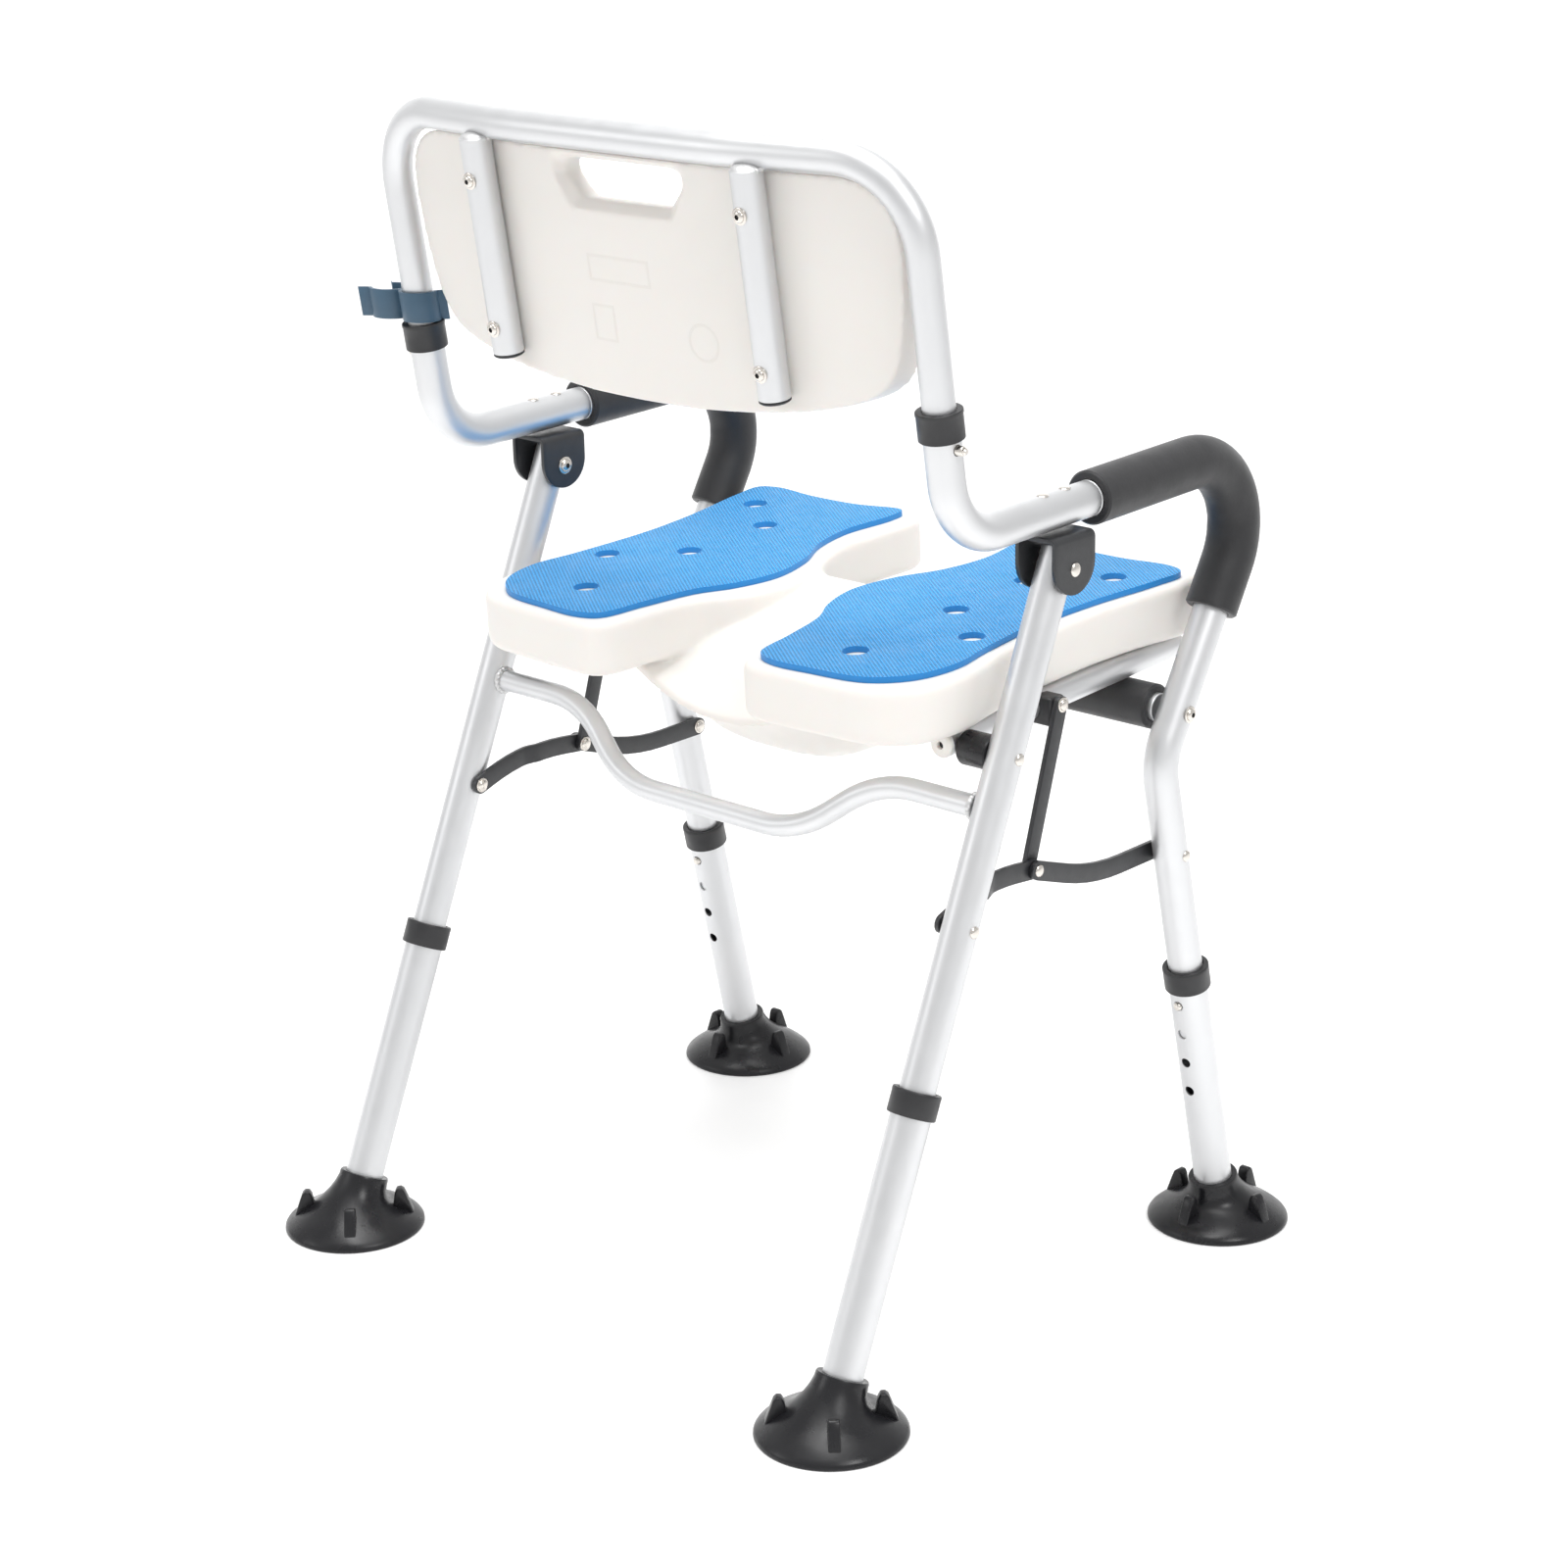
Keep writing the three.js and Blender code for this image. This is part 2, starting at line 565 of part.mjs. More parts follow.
const lobe = new THREE.ExtrudeGeometry(smoothOutline(LOBE, 46), {
  depth: SEAT_THICK - 2 * SEAT_EDGE, bevelEnabled: true, bevelThickness: SEAT_EDGE,
  bevelSize: SEAT_EDGE, bevelOffset: -SEAT_EDGE, bevelSegments: 1,
}).translate(0, 0, SEAT_EDGE);

// The bridge joins the lobes: it slopes down to the rear and hangs below them like a bowl.
const bridgeSide = new THREE.Shape();
bridgeSide.moveTo(-104, 20);
bridgeSide.quadraticCurveTo(-100, 34, -84, 33);
bridgeSide.quadraticCurveTo(0, 20, 53, -20);
bridgeSide.quadraticCurveTo(58, -27, 53, -37);
bridgeSide.quadraticCurveTo(41, -64, 14, -66);
bridgeSide.lineTo(-38, -66);
bridgeSide.quadraticCurveTo(-84, -56, -104, 20);
const bridgeFront = new THREE.Shape([
  [-95, 40], [-95, 4], [-84, -30], [-70, -54], [-52, -65], [-28, -68],
  [28, -68], [52, -65], [70, -54], [84, -30], [95, 4], [95, 40],
].map(([x, z]) => new THREE.Vector2(x, z)));
const bridge = intersect(plate(bridgeSide, -96, 96), upright(bridgeFront, -120, 120));
add(seat, 'seat_shell', unite(lobe, mirrored(lobe), bridge), LOOK.shell);

const padOutline = smoothOutline(PAD, 44);
for (const [x, y] of DRAIN_HOLES) {
  const rim = ring(DRAIN_R, 10).reverse().map((v) => v.add(new THREE.Vector2(x, y)));
  padOutline.holes.push(new THREE.Path(rim));
}
const leftPad = toGeometry(toSolid(new THREE.ExtrudeGeometry(padOutline, {
  depth: PAD_THICK, bevelEnabled: false,
})));
add(seat, 'seat_pad_L', leftPad, LOOK.pad).position.z = SEAT_THICK + FIT_GAP;
add(seat, 'seat_pad_R', mirrored(leftPad), LOOK.pad).position.z = SEAT_THICK + FIT_GAP;

// Rails under the lobes, each with an end plug and the saddle that its lift link pulls on.
for (const [name, s] of [['R', -1], ['L', 1]]) {
  const rail = nest(seat, `rail_${name}`);
  rail.position.set(s * RAIL_X, 0, -RAIL_BELOW);
  const lengthwise = (y0, y1, radius, innerRadius = 0) => rod(
    point(0, y0, 0), point(0, y1, 0), radius, innerRadius, 14,
  );
  add(rail, `seat_rail_${name}`, lengthwise(-214, 47, RAIL_R, RAIL_R - 1.5), LOOK.aluminium);
  add(rail, `rail_plug_${name}`, unite(
    lengthwise(47.3, 51, RAIL_R), lengthwise(35, 48, RAIL_R - 1.8),
  ), LOOK.shell);

  const saddleOut = s * (SIDE_X - LINK_IN - LINK_THICK - 0.5 - RAIL_X);
  const saddleIn = -s * 12;
  const linkPin = pin(s * 5, s * 40, { y: LINK_TOP.y, z: 4 }, RIVET_HOLE_R);
  add(rail, `rail_saddle_${name}`, subtract(
    box((saddleOut + saddleIn) / 2, LINK_TOP.y, -1.4, Math.abs(saddleOut - saddleIn), 16, 22.4),
    lengthwise(-90, -20, RAIL_R + FIT_GAP),
    linkPin,
  ), LOOK.blackPlastic);
}

// ------------------------------------------------------------------ backrest
const BACK_SLOPE = (SOCKET_TOP.y - ELBOW_CORNER.y) / (SOCKET_TOP.z - ELBOW_CORNER.z);
const backY = (z) => SOCKET_TOP.y + BACK_SLOPE * (z - SOCKET_TOP.z);
const onBack = (x, z, behind = 0) => point(x, backY(z) + behind, z);
const acrossBackButton = (s, from, to, radius) => rod(
  onBack(s * (SIDE_X + from), BACK_BUTTON_Z), onBack(s * (SIDE_X + to), BACK_BUTTON_Z),
  radius, 0, 8,
);

const topBar = [
  { p: onBack(-BACK_HALF_WIDTH, BACK_TOP_Z), r: 60 },
  { p: onBack(-100, BACK_TOP_Z, BACK_BOW), r: 300 },
  { p: onBack(100, BACK_TOP_Z, BACK_BOW), r: 300 },
  { p: onBack(BACK_HALF_WIDTH, BACK_TOP_Z), r: 60 },
];
add(chair, 'back_tube', subtract(
  tube([{ p: onBack(-SIDE_X, BACK_LOW_Z) }, ...topBar, { p: onBack(SIDE_X, BACK_LOW_Z) }],
    BACK_R, BACK_R - TUBE_WALL),
  acrossBackButton(-1, 5, 20, HOLE_R),
  acrossBackButton(1, 5, 20, HOLE_R),
), LOOK.aluminium);

for (const [name, s] of [['R', -1], ['L', 1]]) {
  const support = rod(
    onBack(s * SUPPORT_X, SUPPORT_LOW_Z, SUPPORT_BEHIND), onBack(s * SUPPORT_X, 838, SUPPORT_BEHIND),
    BACK_R, BACK_R - TUBE_WALL,
  );
  add(chair, `back_support_${name}`, subtract(support, tube(topBar, BACK_R + 0.4)), LOOK.aluminium);
  add(chair, `back_button_${name}`,
    acrossBackButton(s, BACK_R + FIT_GAP, TUBE_R + 7.3, BUTTON_R), LOOK.steel);
}

// Curved moulded panel with a hand slot, hung in front of the two support tubes.
const panelHalf = [[0, 660], [60, 661.5], [110, 666], [150, 672], [186, 681.5], [207, 693],
  [219, 711], [225.5, 736], [229, 765], [229, 795], [222, 813.5], [208.5, 825], [193, 830]];
const panelOutline = new THREE.Shape([
  ...panelHalf, ...panelHalf.slice(1).reverse().map(([x, z]) => [-x, z]),
].map(([x, z]) => new THREE.Vector2(x, z)));
const handSlot = new THREE.Shape([
  [-47, 825], [47, 825], [55, 820], [55, 812], [40, 796], [-40, 796], [-55, 812], [-55, 820],
].map(([x, z]) => new THREE.Vector2(x, z)));

const panelRear = (x) => -PANEL_CURVE * x * x;
const panelStations = Array.from({ length: 15 }, (_, i) => -236 + (472 * i) / 14);
const planSection = new THREE.Shape([
  ...panelStations.map((x) => new THREE.Vector2(x, panelRear(x))),
  ...panelStations.reverse().map((x) => new THREE.Vector2(x, panelRear(x) - PANEL_THICK)),
]);
const leanBack = new THREE.Matrix4().makeShear(0, 0, 0, 0, 0, BACK_SLOPE);
const panelAtSupport = SUPPORT_BEHIND - BACK_R - 0.4 - panelRear(SUPPORT_X);
const slab = new THREE.ExtrudeGeometry(planSection, { depth: 240, bevelEnabled: false })
  .applyMatrix4(leanBack).translate(0, backY(BACK_LOW_Z) + panelAtSupport, BACK_LOW_Z);
add(chair, 'back_panel', subtract(
  intersect(slab, upright(panelOutline, 20, 240)), upright(handSlot, 20, 240),
), LOOK.shell);

// ------------------------------------------------------------------ hose clip
// Two C rings joined by a web: one grips the left backrest tube and opens to the front, the
// other opens outboard and holds the handle or hose of a shower head.
const clip = nest(chair, 'hose_clip');
clip.position.copy(onBack(SIDE_X, CLIP_LOW_Z));
clip.rotation.x = -Math.atan(BACK_SLOPE);

// Ring round (cx, 0), open towards the angle `mouth`, with a lip that flares at each side.
function clipRing(cx, inner, mouth, halfGap, lip) {
  const outer = inner + CLIP_WALL;
  const start = mouth + halfGap;
  const end = mouth - halfGap + 2 * Math.PI;
  const flare = (angle, radius, turn) => [
    cx + radius * Math.cos(angle) + lip * Math.cos(mouth + turn),
    radius * Math.sin(angle) + lip * Math.sin(mouth + turn),
  ];
  const shape = new THREE.Shape();
  shape.absarc(cx, 0, outer, start, end, false);
  shape.lineTo(...flare(end, outer, -0.6));
  shape.lineTo(...flare(end, inner + 0.6, -0.6));
  shape.absarc(cx, 0, inner, end, start, true);
  shape.lineTo(...flare(start, inner + 0.6, 0.6));
  shape.lineTo(...flare(start, outer, 0.6));
  return new THREE.ExtrudeGeometry(shape, {
    depth: CLIP_HEIGHT, bevelEnabled: false, curveSegments: 14,
  });
}
add(clip, 'hose_clip_L', unite(
  clipRing(0, BACK_R + 0.4, -Math.PI / 2, 0.87, 6),
  clipRing(CLIP_JAW_X, CLIP_JAW_R, 0, 0.8, 8),
  box(14.4, 0, CLIP_HEIGHT / 2, 4.8, 12, CLIP_HEIGHT),
), LOOK.clip);

export default chair;
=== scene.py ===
"""Folding shower chair with armrests: the visual model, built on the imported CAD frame.

Sizes below are in millimetres and are scaled to metres when a mesh is made.
The sitter faces -Y and the sitter's right is -X. Side "R" is at -X, side "L" at +X.
"""
import math

import bmesh
import bpy
from mathutils import Matrix, Vector


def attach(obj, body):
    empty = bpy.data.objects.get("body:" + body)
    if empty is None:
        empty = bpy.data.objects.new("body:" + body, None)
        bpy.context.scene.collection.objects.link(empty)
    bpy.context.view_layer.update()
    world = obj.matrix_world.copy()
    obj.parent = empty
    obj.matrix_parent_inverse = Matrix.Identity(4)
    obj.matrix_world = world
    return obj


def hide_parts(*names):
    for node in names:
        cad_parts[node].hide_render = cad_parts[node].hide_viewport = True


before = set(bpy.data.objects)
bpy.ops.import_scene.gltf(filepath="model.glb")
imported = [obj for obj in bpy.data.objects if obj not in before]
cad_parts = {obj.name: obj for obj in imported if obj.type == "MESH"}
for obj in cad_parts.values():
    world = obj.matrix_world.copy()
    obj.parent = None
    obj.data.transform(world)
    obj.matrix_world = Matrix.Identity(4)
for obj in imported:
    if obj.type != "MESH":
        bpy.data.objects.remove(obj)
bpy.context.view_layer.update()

MM = 0.001
SIDES = {"R": -1, "L": 1}

# ---------- driving dimensions
SIDE_X = 247.5                 # lateral position of the tubes of each side frame
TUBE_R = 12.7
SLEEVE_R = 14.3
BACK_R = 11.1
CROSS_BAR_R = 8
TUBE_WALL = 1.2

FOLD_PIVOT = (-16.4, 557)      # (y, z) of the joints of a side frame
SEAT_PIVOT = (-155, 421)
FRONT_STRUT_PIVOT = (-154.3, 314)
REAR_STRUT_PIVOT = (84, 325)
STRUT_MIDDLE = (-18, 334.7)
LINK_TOP = (-53, 446)
STRUT_IN = TUBE_R + 1          # outer face of the struts, inboard of the side frame's plane
STRUT_PITCH = 4                # from one layer of the folding linkage to the next
STRUT_THICK = 3.4
STRUT_HALF = 7
STRUT_STEP_Y = 32              # the rear strut steps outboard behind this
LINK_THICK = 4

REAR_LEG_ANKLE = (209.3, 36)
FRONT_LEG_KNEE = (-136, 388)
FRONT_LEG_ANKLE = (-213.6, 36)
KNEE_BEND = 45
ARM_CORNER = (-263, 602.8)
ARM_BEND = 54
ELBOW_CORNER = (89.7, 592.9)
ELBOW_BEND = 48
ARM_JOINT_Y = -51
GRIP_LOW_Z = 487.5
GRIP_R = 19
GRIP_CREASE = (-205, 548)      # the inside of the bend, where the foam is squeezed
GRIP_CREASE_REACH = 62
SOCKET_TOP = (103.2, 683)
SOCKET_COLLAR = (665, 684.5)   # from this height to that
SEAT_STOP_Z = 435.2
CROSS_BAR_Z = (400.5, 354.5)   # at the legs and in the dip
CROSS_BAR_X = (148, 87)        # its corners: at the top and at the bottom of the slope
CROSS_BAR_BEND = 88

LEG_TUBE_LOW_Z = 165
SLEEVE_TOP_Z = 219
SLEEVE_LOW_Z = 14
HOLE_PITCH = 25
HOLE_R = 3.9
BUTTON_BELOW_TOP = 26
FOOT_Y = 220.5

SEAT_TILT = 0.05
SEAT_BOTTOM_Z = 449.9
SEAT_THICK = 41.8
PAD_THICK = 4.5
RAIL_X = 202
RAIL_R = 9.5
RAIL_Z = 439.7
RAIL_ENDS_Y = (-214, 47)
SADDLE_Z = (430.2, 451.0)
SADDLE_HALF = 8
FRONT_TUBE_R = 10.5
ROLL_R = 16.5

BACK_LOW_Z = 640
BACK_TOP_Z = 843
BACK_CORNER_BEND = 60
BACK_BOW_BEND = 300
BACK_HALF_WIDTH = 248
BACK_BOW = 21
BACK_BOW_X = 100
SUPPORT_X = 128
SUPPORT_BEHIND = 25.8          # support tubes behind the plane of the backrest's side tubes
SUPPORT_LOW_Z = 680.5
SUPPORT_TOP_Z = 833.5
SUPPORT_SCREWS_Z = (700, 805)
BACK_BUTTON_Z = 659
PANEL_THICK = 22
PANEL_CURVE = 0.0004           # how fast the panel curves forward towards its sides

# ---------- camera
CAMERA_AT = (-1.63562, 1.73121, 1.15008)
CAMERA_AZIMUTH = math.radians(223.23)
CAMERA_ELEVATION = math.radians(18.50)
CAMERA_ROLL = math.radians(-1.16)
CAMERA_LENS = 78.32


def in_scene(name, data):
    made = bpy.data.objects.new(name, data)
    bpy.context.scene.collection.objects.link(made)
    return made


def make_camera():
    back = Vector((
        math.sin(CAMERA_AZIMUTH) * math.cos(CAMERA_ELEVATION),
        -math.cos(CAMERA_AZIMUTH) * math.cos(CAMERA_ELEVATION),
        math.sin(CAMERA_ELEVATION),
    ))
    right = (-back).cross(Vector((0, 0, 1))).normalized()
    up = right.cross(-back)
    turned_right = right * math.cos(CAMERA_ROLL) + up * math.sin(CAMERA_ROLL)
    turned_up = up * math.cos(CAMERA_ROLL) - right * math.sin(CAMERA_ROLL)
    camera = in_scene("camera", bpy.data.cameras.new("camera"))
    camera.data.lens = CAMERA_LENS
    axes = Matrix((turned_right, turned_up, back)).transposed()
    camera.matrix_world = Matrix.Translation(CAMERA_AT) @ axes.to_4x4()
    bpy.context.scene.camera = camera


make_camera()


# ---------- materials
class Surface:
    """A procedural material: a Principled shader with grain, mottling and wear in object space."""

    def __init__(self, name, color, roughness, metallic=0.0, **sockets):
        self.material = bpy.data.materials.new(name)
        self.material.use_nodes = True
        self.tree = self.material.node_tree
        self.shader = self.tree.nodes["Principled BSDF"]
        self.color = (*color, 1)
        self.roughness = roughness
        self.shader.inputs["Metallic"].default_value = metallic
        for socket, value in sockets.items():
            self.shader.inputs[socket.replace("_", " ")].default_value = value
        self.coordinates = self.node("ShaderNodeTexCoord").outputs["Object"]
        self.normal = None

    def node(self, kind, values=None, **properties):
        made = self.tree.nodes.new(kind)
        for key, value in properties.items():
            setattr(made, key, value)
        for socket, value in (values or {}).items():
            made.inputs[socket].default_value = value
        return made

    def link(self, source, target):
        self.tree.links.new(source, target)

    def math(self, operation, a, b=0.0):
        made = self.node("ShaderNodeMath", operation=operation)
        for socket, value in zip(made.inputs, (a, b)):
            if isinstance(value, (int, float)):
                socket.default_value = value
            else:
                self.link(value, socket)
        return made.outputs[0]

    def noise(self, scale, detail=3.0):
        texture = self.node("ShaderNodeTexNoise", {"Scale": scale, "Detail": detail})
        self.link(self.coordinates, texture.inputs["Vector"])
        return texture.outputs["Fac"]

    def spread(self, value, low, high):
        ends = {"From Min": 0.3, "From Max": 0.7, "To Min": low, "To Max": high}
        ranged = self.node("ShaderNodeMapRange", ends)
        self.link(value, ranged.inputs["Value"])
        return ranged.outputs["Result"]

    def mottle(self, value, amount, tint=(1, 1, 1)):
        """Colour moves between the base and a darker, tinted shade of it."""
        shade = (*(c * (1 - amount) * t for c, t in zip(self.color[:3], tint)), 1)
        mix = self.node("ShaderNodeMix", {"A": self.color, "B": shade}, data_type="RGBA")
        self.link(value, mix.inputs["Factor"])
        self.link(mix.outputs["Result"], self.shader.inputs["Base Color"])

    def polish(self, value, spread):
        low, high = self.roughness - spread, self.roughness + spread
        self.link(self.spread(value, low, high), self.shader.inputs["Roughness"])

    def bump(self, height, distance, strength):
        bump = self.node("ShaderNodeBump", {"Distance": distance, "Strength": strength})
        self.link(height, bump.inputs["Height"])
        if self.normal is not None:
            self.link(self.normal, bump.inputs["Normal"])
        self.normal = bump.outputs["Normal"]
        self.link(self.normal, self.shader.inputs["Normal"])
        return self


def blow_moulded(name="blow_moulded"):
    look = Surface(
        name, (0.785, 0.76, 0.728), 0.44, Subsurface_Weight=0.12, Subsurface_Scale=0.01,
        Specular_IOR_Level=0.4,
    )
    look.mottle(look.noise(9, 3), 0.045, (1, 0.995, 0.985))
    look.polish(look.noise(45, 4), 0.05)
    look.bump(look.noise(30, 2), 0.0005, 0.12)
    return look.bump(look.noise(1500, 3), 0.00008, 0.6)


def panel_plastic():
    """The seat shell's plastic with mould marks: a wide window, a small one and a round mark."""
    look = blow_moulded("blow_moulded_panel")
    axes = look.node("ShaderNodeSeparateXYZ")
    look.link(look.coordinates, axes.inputs["Vector"])
    x, z = axes.outputs["X"], axes.outputs["Z"]

    def off(value, centre):
        return look.math("ABSOLUTE", look.math("SUBTRACT", value, centre))

    def framed(distance, line):
        """1 on a line round the place where the distance is zero."""
        return look.math("LESS_THAN", look.math("ABSOLUTE", distance), line)

    def window(cx, cz, half_width, half_height, line):
        across = look.math("SUBTRACT", off(x, cx), half_width)
        upright = look.math("SUBTRACT", off(z, cz), half_height)
        return framed(look.math("MAXIMUM", across, upright), line)

    def round_mark(cx, cz, radius, line):
        dx, dz = (look.math("POWER", off(v, centre), 2) for v, centre in ((x, cx), (z, cz)))
        distance = look.math("SQRT", look.math("ADD", dx, dz))
        return framed(look.math("SUBTRACT", distance, radius), line)

    marks = look.math("ADD", window(0.0095, 0.7505, 0.0285, 0.0085, 0.0010),
                      window(0.030, 0.712, 0.010, 0.012, 0.0009))
    marks = look.math("ADD", marks, round_mark(-0.062, 0.7085, 0.0125, 0.0010))
    # The marks are also painted darker in colour: painted shade in their shallow grooves, on top of
    # the bump.
    painted_mark_shade = look.node("ShaderNodeMix", {"B": (0.70, 0.67, 0.63, 1)}, data_type="RGBA")
    look.link(look.shader.inputs["Base Color"].links[0].from_socket, painted_mark_shade.inputs["A"])
    look.link(look.math("MULTIPLY", marks, 0.45), painted_mark_shade.inputs["Factor"])
    look.link(painted_mark_shade.outputs["Result"], look.shader.inputs["Base Color"])
    return look.bump(marks, 0.0015, 1.0).material


def eva_pad():
    """Blue closed-cell foam, pressed with a fine diagonal rib crossed by a finer one, with painted
    shade in the rib valleys and on the side walls and painted highlight on the ridges.
    """
    look = Surface("eva_blue", (0.035, 0.455, 1.0), 0.5, Sheen_Weight=0.08, Sheen_Roughness=0.5)
    axes = look.node("ShaderNodeSeparateXYZ")
    look.link(look.coordinates, axes.inputs["Vector"])
    x, y = axes.outputs["X"], axes.outputs["Y"]

    def rib(slope, pitch):
        run = look.math("ADD", x, look.math("MULTIPLY", y, slope))
        return look.math("SINE", look.math("MULTIPLY", run, 2 * math.pi / pitch))

    main = rib(1.37, 0.0044)
    cross = rib(-0.75, 0.0031)
    height = look.math("ADD", main, look.math("MULTIPLY", cross, 0.45))
    faces_up = look.node("ShaderNodeSeparateXYZ")
    look.link(look.node("ShaderNodeNewGeometry").outputs["True Normal"], faces_up.inputs["Vector"])
    on_top = look.math("GREATER_THAN", faces_up.outputs["Z"], 0.6)
    grain = look.math("MULTIPLY", look.noise(900), 0.8)
    # Colour follows the rib height, darker in the valleys and lighter on the ridges: painted shade and
    # highlight, mixed with real random grain.
    shade = look.spread(look.math("ADD", look.math("MULTIPLY", height, -0.26), grain), 0.0, 1.0)
    # Faces that don't point up are darkened: painted shade on the pad's side walls.
    below = look.math("SUBTRACT", 1.0, on_top)
    look.mottle(look.math("MAXIMUM", shade, below), 0.42, (0.4, 0.80, 0.98))
    look.polish(look.noise(80), 0.06)
    look.bump(look.math("MULTIPLY", height, on_top), 0.0008, 1.0)
    return look.bump(look.noise(2200, 2), 0.00008, 0.4).material


def grained(name, color, roughness, blotches, wear, *grain, **sockets):
    """A material without a pattern. blotches: (scale, detail, amount, a tint if any), wear: (scale,
    detail, spread of the roughness) or None, each grain: (scale, detail, depth, strength).
    """
    look = Surface(name, color, roughness, **sockets)
    look.mottle(look.noise(*blotches[:2]), *blotches[2:])
    if wear:
        look.polish(look.noise(*wear[:2]), wear[2])
    for scale, detail, depth, strength in grain:
        look.bump(look.noise(scale, detail), depth, strength)
    return look.material


ALUMINIUM = grained(
    "aluminium_satin", (0.70, 0.702, 0.708), 0.42, (14, 4, 0.05, (0.99, 1, 1.01)), (60, 4, 0.03),
    (2600, 2, 0.00003, 0.3), metallic=0.9,
)
WELD = grained("weld", (0.72, 0.72, 0.72), 0.42, (160, 4, 0.25), None, (420, 3, 0.0006, 0.8),
               metallic=0.9)
NICKEL = grained(
    "nickel", (0.74, 0.70, 0.65), 0.2, (300, 3, 0.12), (500, 3, 0.06),
    (1800, 2, 0.00003, 0.5), metallic=1.0,
)
# Near-black discs at the bottom of screw sockets and plug holes: painted shade, not the parts' own
# colour.
PAINTED_RECESS_SHADE = grained("painted_recess_shade", (0.012, 0.012, 0.013), 0.7, (500, 3, 0.5), (400, 3, 0.1))
SHELL = blow_moulded().material
PANEL = panel_plastic()
PAD = eva_pad()
BLACK_PLASTIC = grained(
    "moulded_black", (0.018, 0.018, 0.020), 0.42, (60, 3, 0.3), (90, 3, 0.07),
    (1400, 3, 0.0001, 0.5),
)
BLACK_STEEL = grained(
    "powder_black", (0.022, 0.023, 0.026), 0.38, (120, 3, 0.3), (150, 3, 0.06),
    (900, 2, 0.00012, 0.6), Coat_Weight=0.15, Coat_Roughness=0.35,
)
FOAM = grained(
    "soft_foam", (0.014, 0.014, 0.016), 0.56, (40, 4, 0.3), (70, 3, 0.06),
    (420, 3, 0.00025, 0.35), (2400, 2, 0.0001, 0.5), Sheen_Weight=0.2, Sheen_Roughness=0.45,
)
RUBBER = grained(
    "moulded_rubber", (0.012, 0.012, 0.014), 0.3, (35, 4, 0.35), (50, 4, 0.1),
    (60, 3, 0.0004, 0.3), (1300, 2, 0.0001, 0.5), Specular_IOR_Level=0.35,
)
CLIP = grained(
    "clip_blue", (0.048, 0.105, 0.165), 0.45, (70, 3, 0.2), (90, 3, 0.06),
    (1500, 2, 0.00008, 0.5),
)


# ---------- mesh tools
def reshaped(mesh, change=None):
    """Edits a mesh by change(its bmesh) and turns its faces outwards."""
    shape = bmesh.new()
    shape.from_mesh(mesh)
    if change:
        change(shape)
    bmesh.ops.recalc_face_normals(shape, faces=shape.faces)
    shape.to_mesh(mesh)
    shape.free()


def new_object(name, vertices, faces):
    """An object from vertices in millimetres."""
    mesh = bpy.data.meshes.new(name)
    mesh.from_pydata([Vector(v) * MM for v in vertices], [], faces)
    reshaped(mesh)
    return in_scene(name, mesh)


def piece(made, material, body, *nodes):
    """Finishes an object: smooth shading, material, body, and the CAD nodes it stands for."""
    made.data.materials.clear()
    made.data.materials.append(material)
    made.data.shade_smooth()
    made.data.set_sharp_from_angle(angle=math.radians(38))
    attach(made, body)
    if nodes:
        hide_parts(*nodes)
    return made


def applied(made):
    """Bakes an object's modifiers into its mesh."""
    graph = bpy.context.evaluated_depsgraph_get()
    mesh = bpy.data.meshes.new_from_object(made.evaluated_get(graph))
    made.modifiers.clear()
    made.data = mesh
    return made


def combine(target, others, operation="DIFFERENCE"):
    for other in others:
        cut = target.modifiers.new("combine", "BOOLEAN")
        cut.operation = operation
        cut.solver = "EXACT"
        cut.object = other
    applied(target)
    for other in others:
        bpy.data.objects.remove(other)
    return target


def bevelled(made, width, segments, angle=35):
    bevel = made.modifiers.new("bevel", "BEVEL")
    bevel.width = width * MM
    bevel.segments = segments
    bevel.limit_method = "ANGLE"
    bevel.angle_limit = math.radians(angle)
    return applied(made)


def remeshed(made, voxel, passes):
    """One even skin over joined or overlapping parts, with its creases relaxed into fillets."""
    skin = made.modifiers.new("skin", "REMESH")
    skin.mode = "VOXEL"
    skin.voxel_size = voxel * MM
    relax = made.modifiers.new("relax", "SMOOTH")
    relax.factor = 0.5
    relax.iterations = passes
    return applied(made)


def bent(corners, arc_step=5):
    """Stations along a path of (point, fillet radius) corners."""
    points = [Vector(p) for p, _ in corners]
    stations = [points[0]]
    for i in range(1, len(points) - 1):
        radius = corners[i][1]
        if not radius:
            stations.append(points[i])
            continue
        into = (points[i] - points[i - 1]).normalized()
        out = (points[i + 1] - points[i]).normalized()
        turn = into.angle(out)
        start = points[i] - into * radius * math.tan(turn / 2)
        side = (out - into * out.dot(into)).normalized()
        steps = max(2, math.ceil(math.degrees(turn) / arc_step))
        for k in range(steps + 1):
            a = turn * k / steps
            stations.append(start + into * radius * math.sin(a) + side * radius * (1 - math.cos(a)))
    stations.append(points[-1])
    return stations


def tangents(stations):
    found = []
    for i in range(len(stations)):
        before = stations[max(0, i - 1)]
        after = stations[min(len(stations) - 1, i + 1)]
        into = (stations[i] - before) if i else (after - stations[i])
        out = (after - stations[i]) if i < len(stations) - 1 else into
        found.append((into.normalized() + out.normalized()).normalized())
    return found


def frames(stations):
    """A tangent and two normals at each station, carried along without twist."""
    along = tangents(stations)
    start = Vector((1, 0, 0)) if abs(along[0].x) < 0.9 else Vector((0, 0, 1))
    normal = (start - along[0] * start.dot(along[0])).normalized()
    found = []
    for t in along:
        normal = (normal - t * normal.dot(t)).normalized()
        found.append((t, normal, t.cross(normal)))
    return found


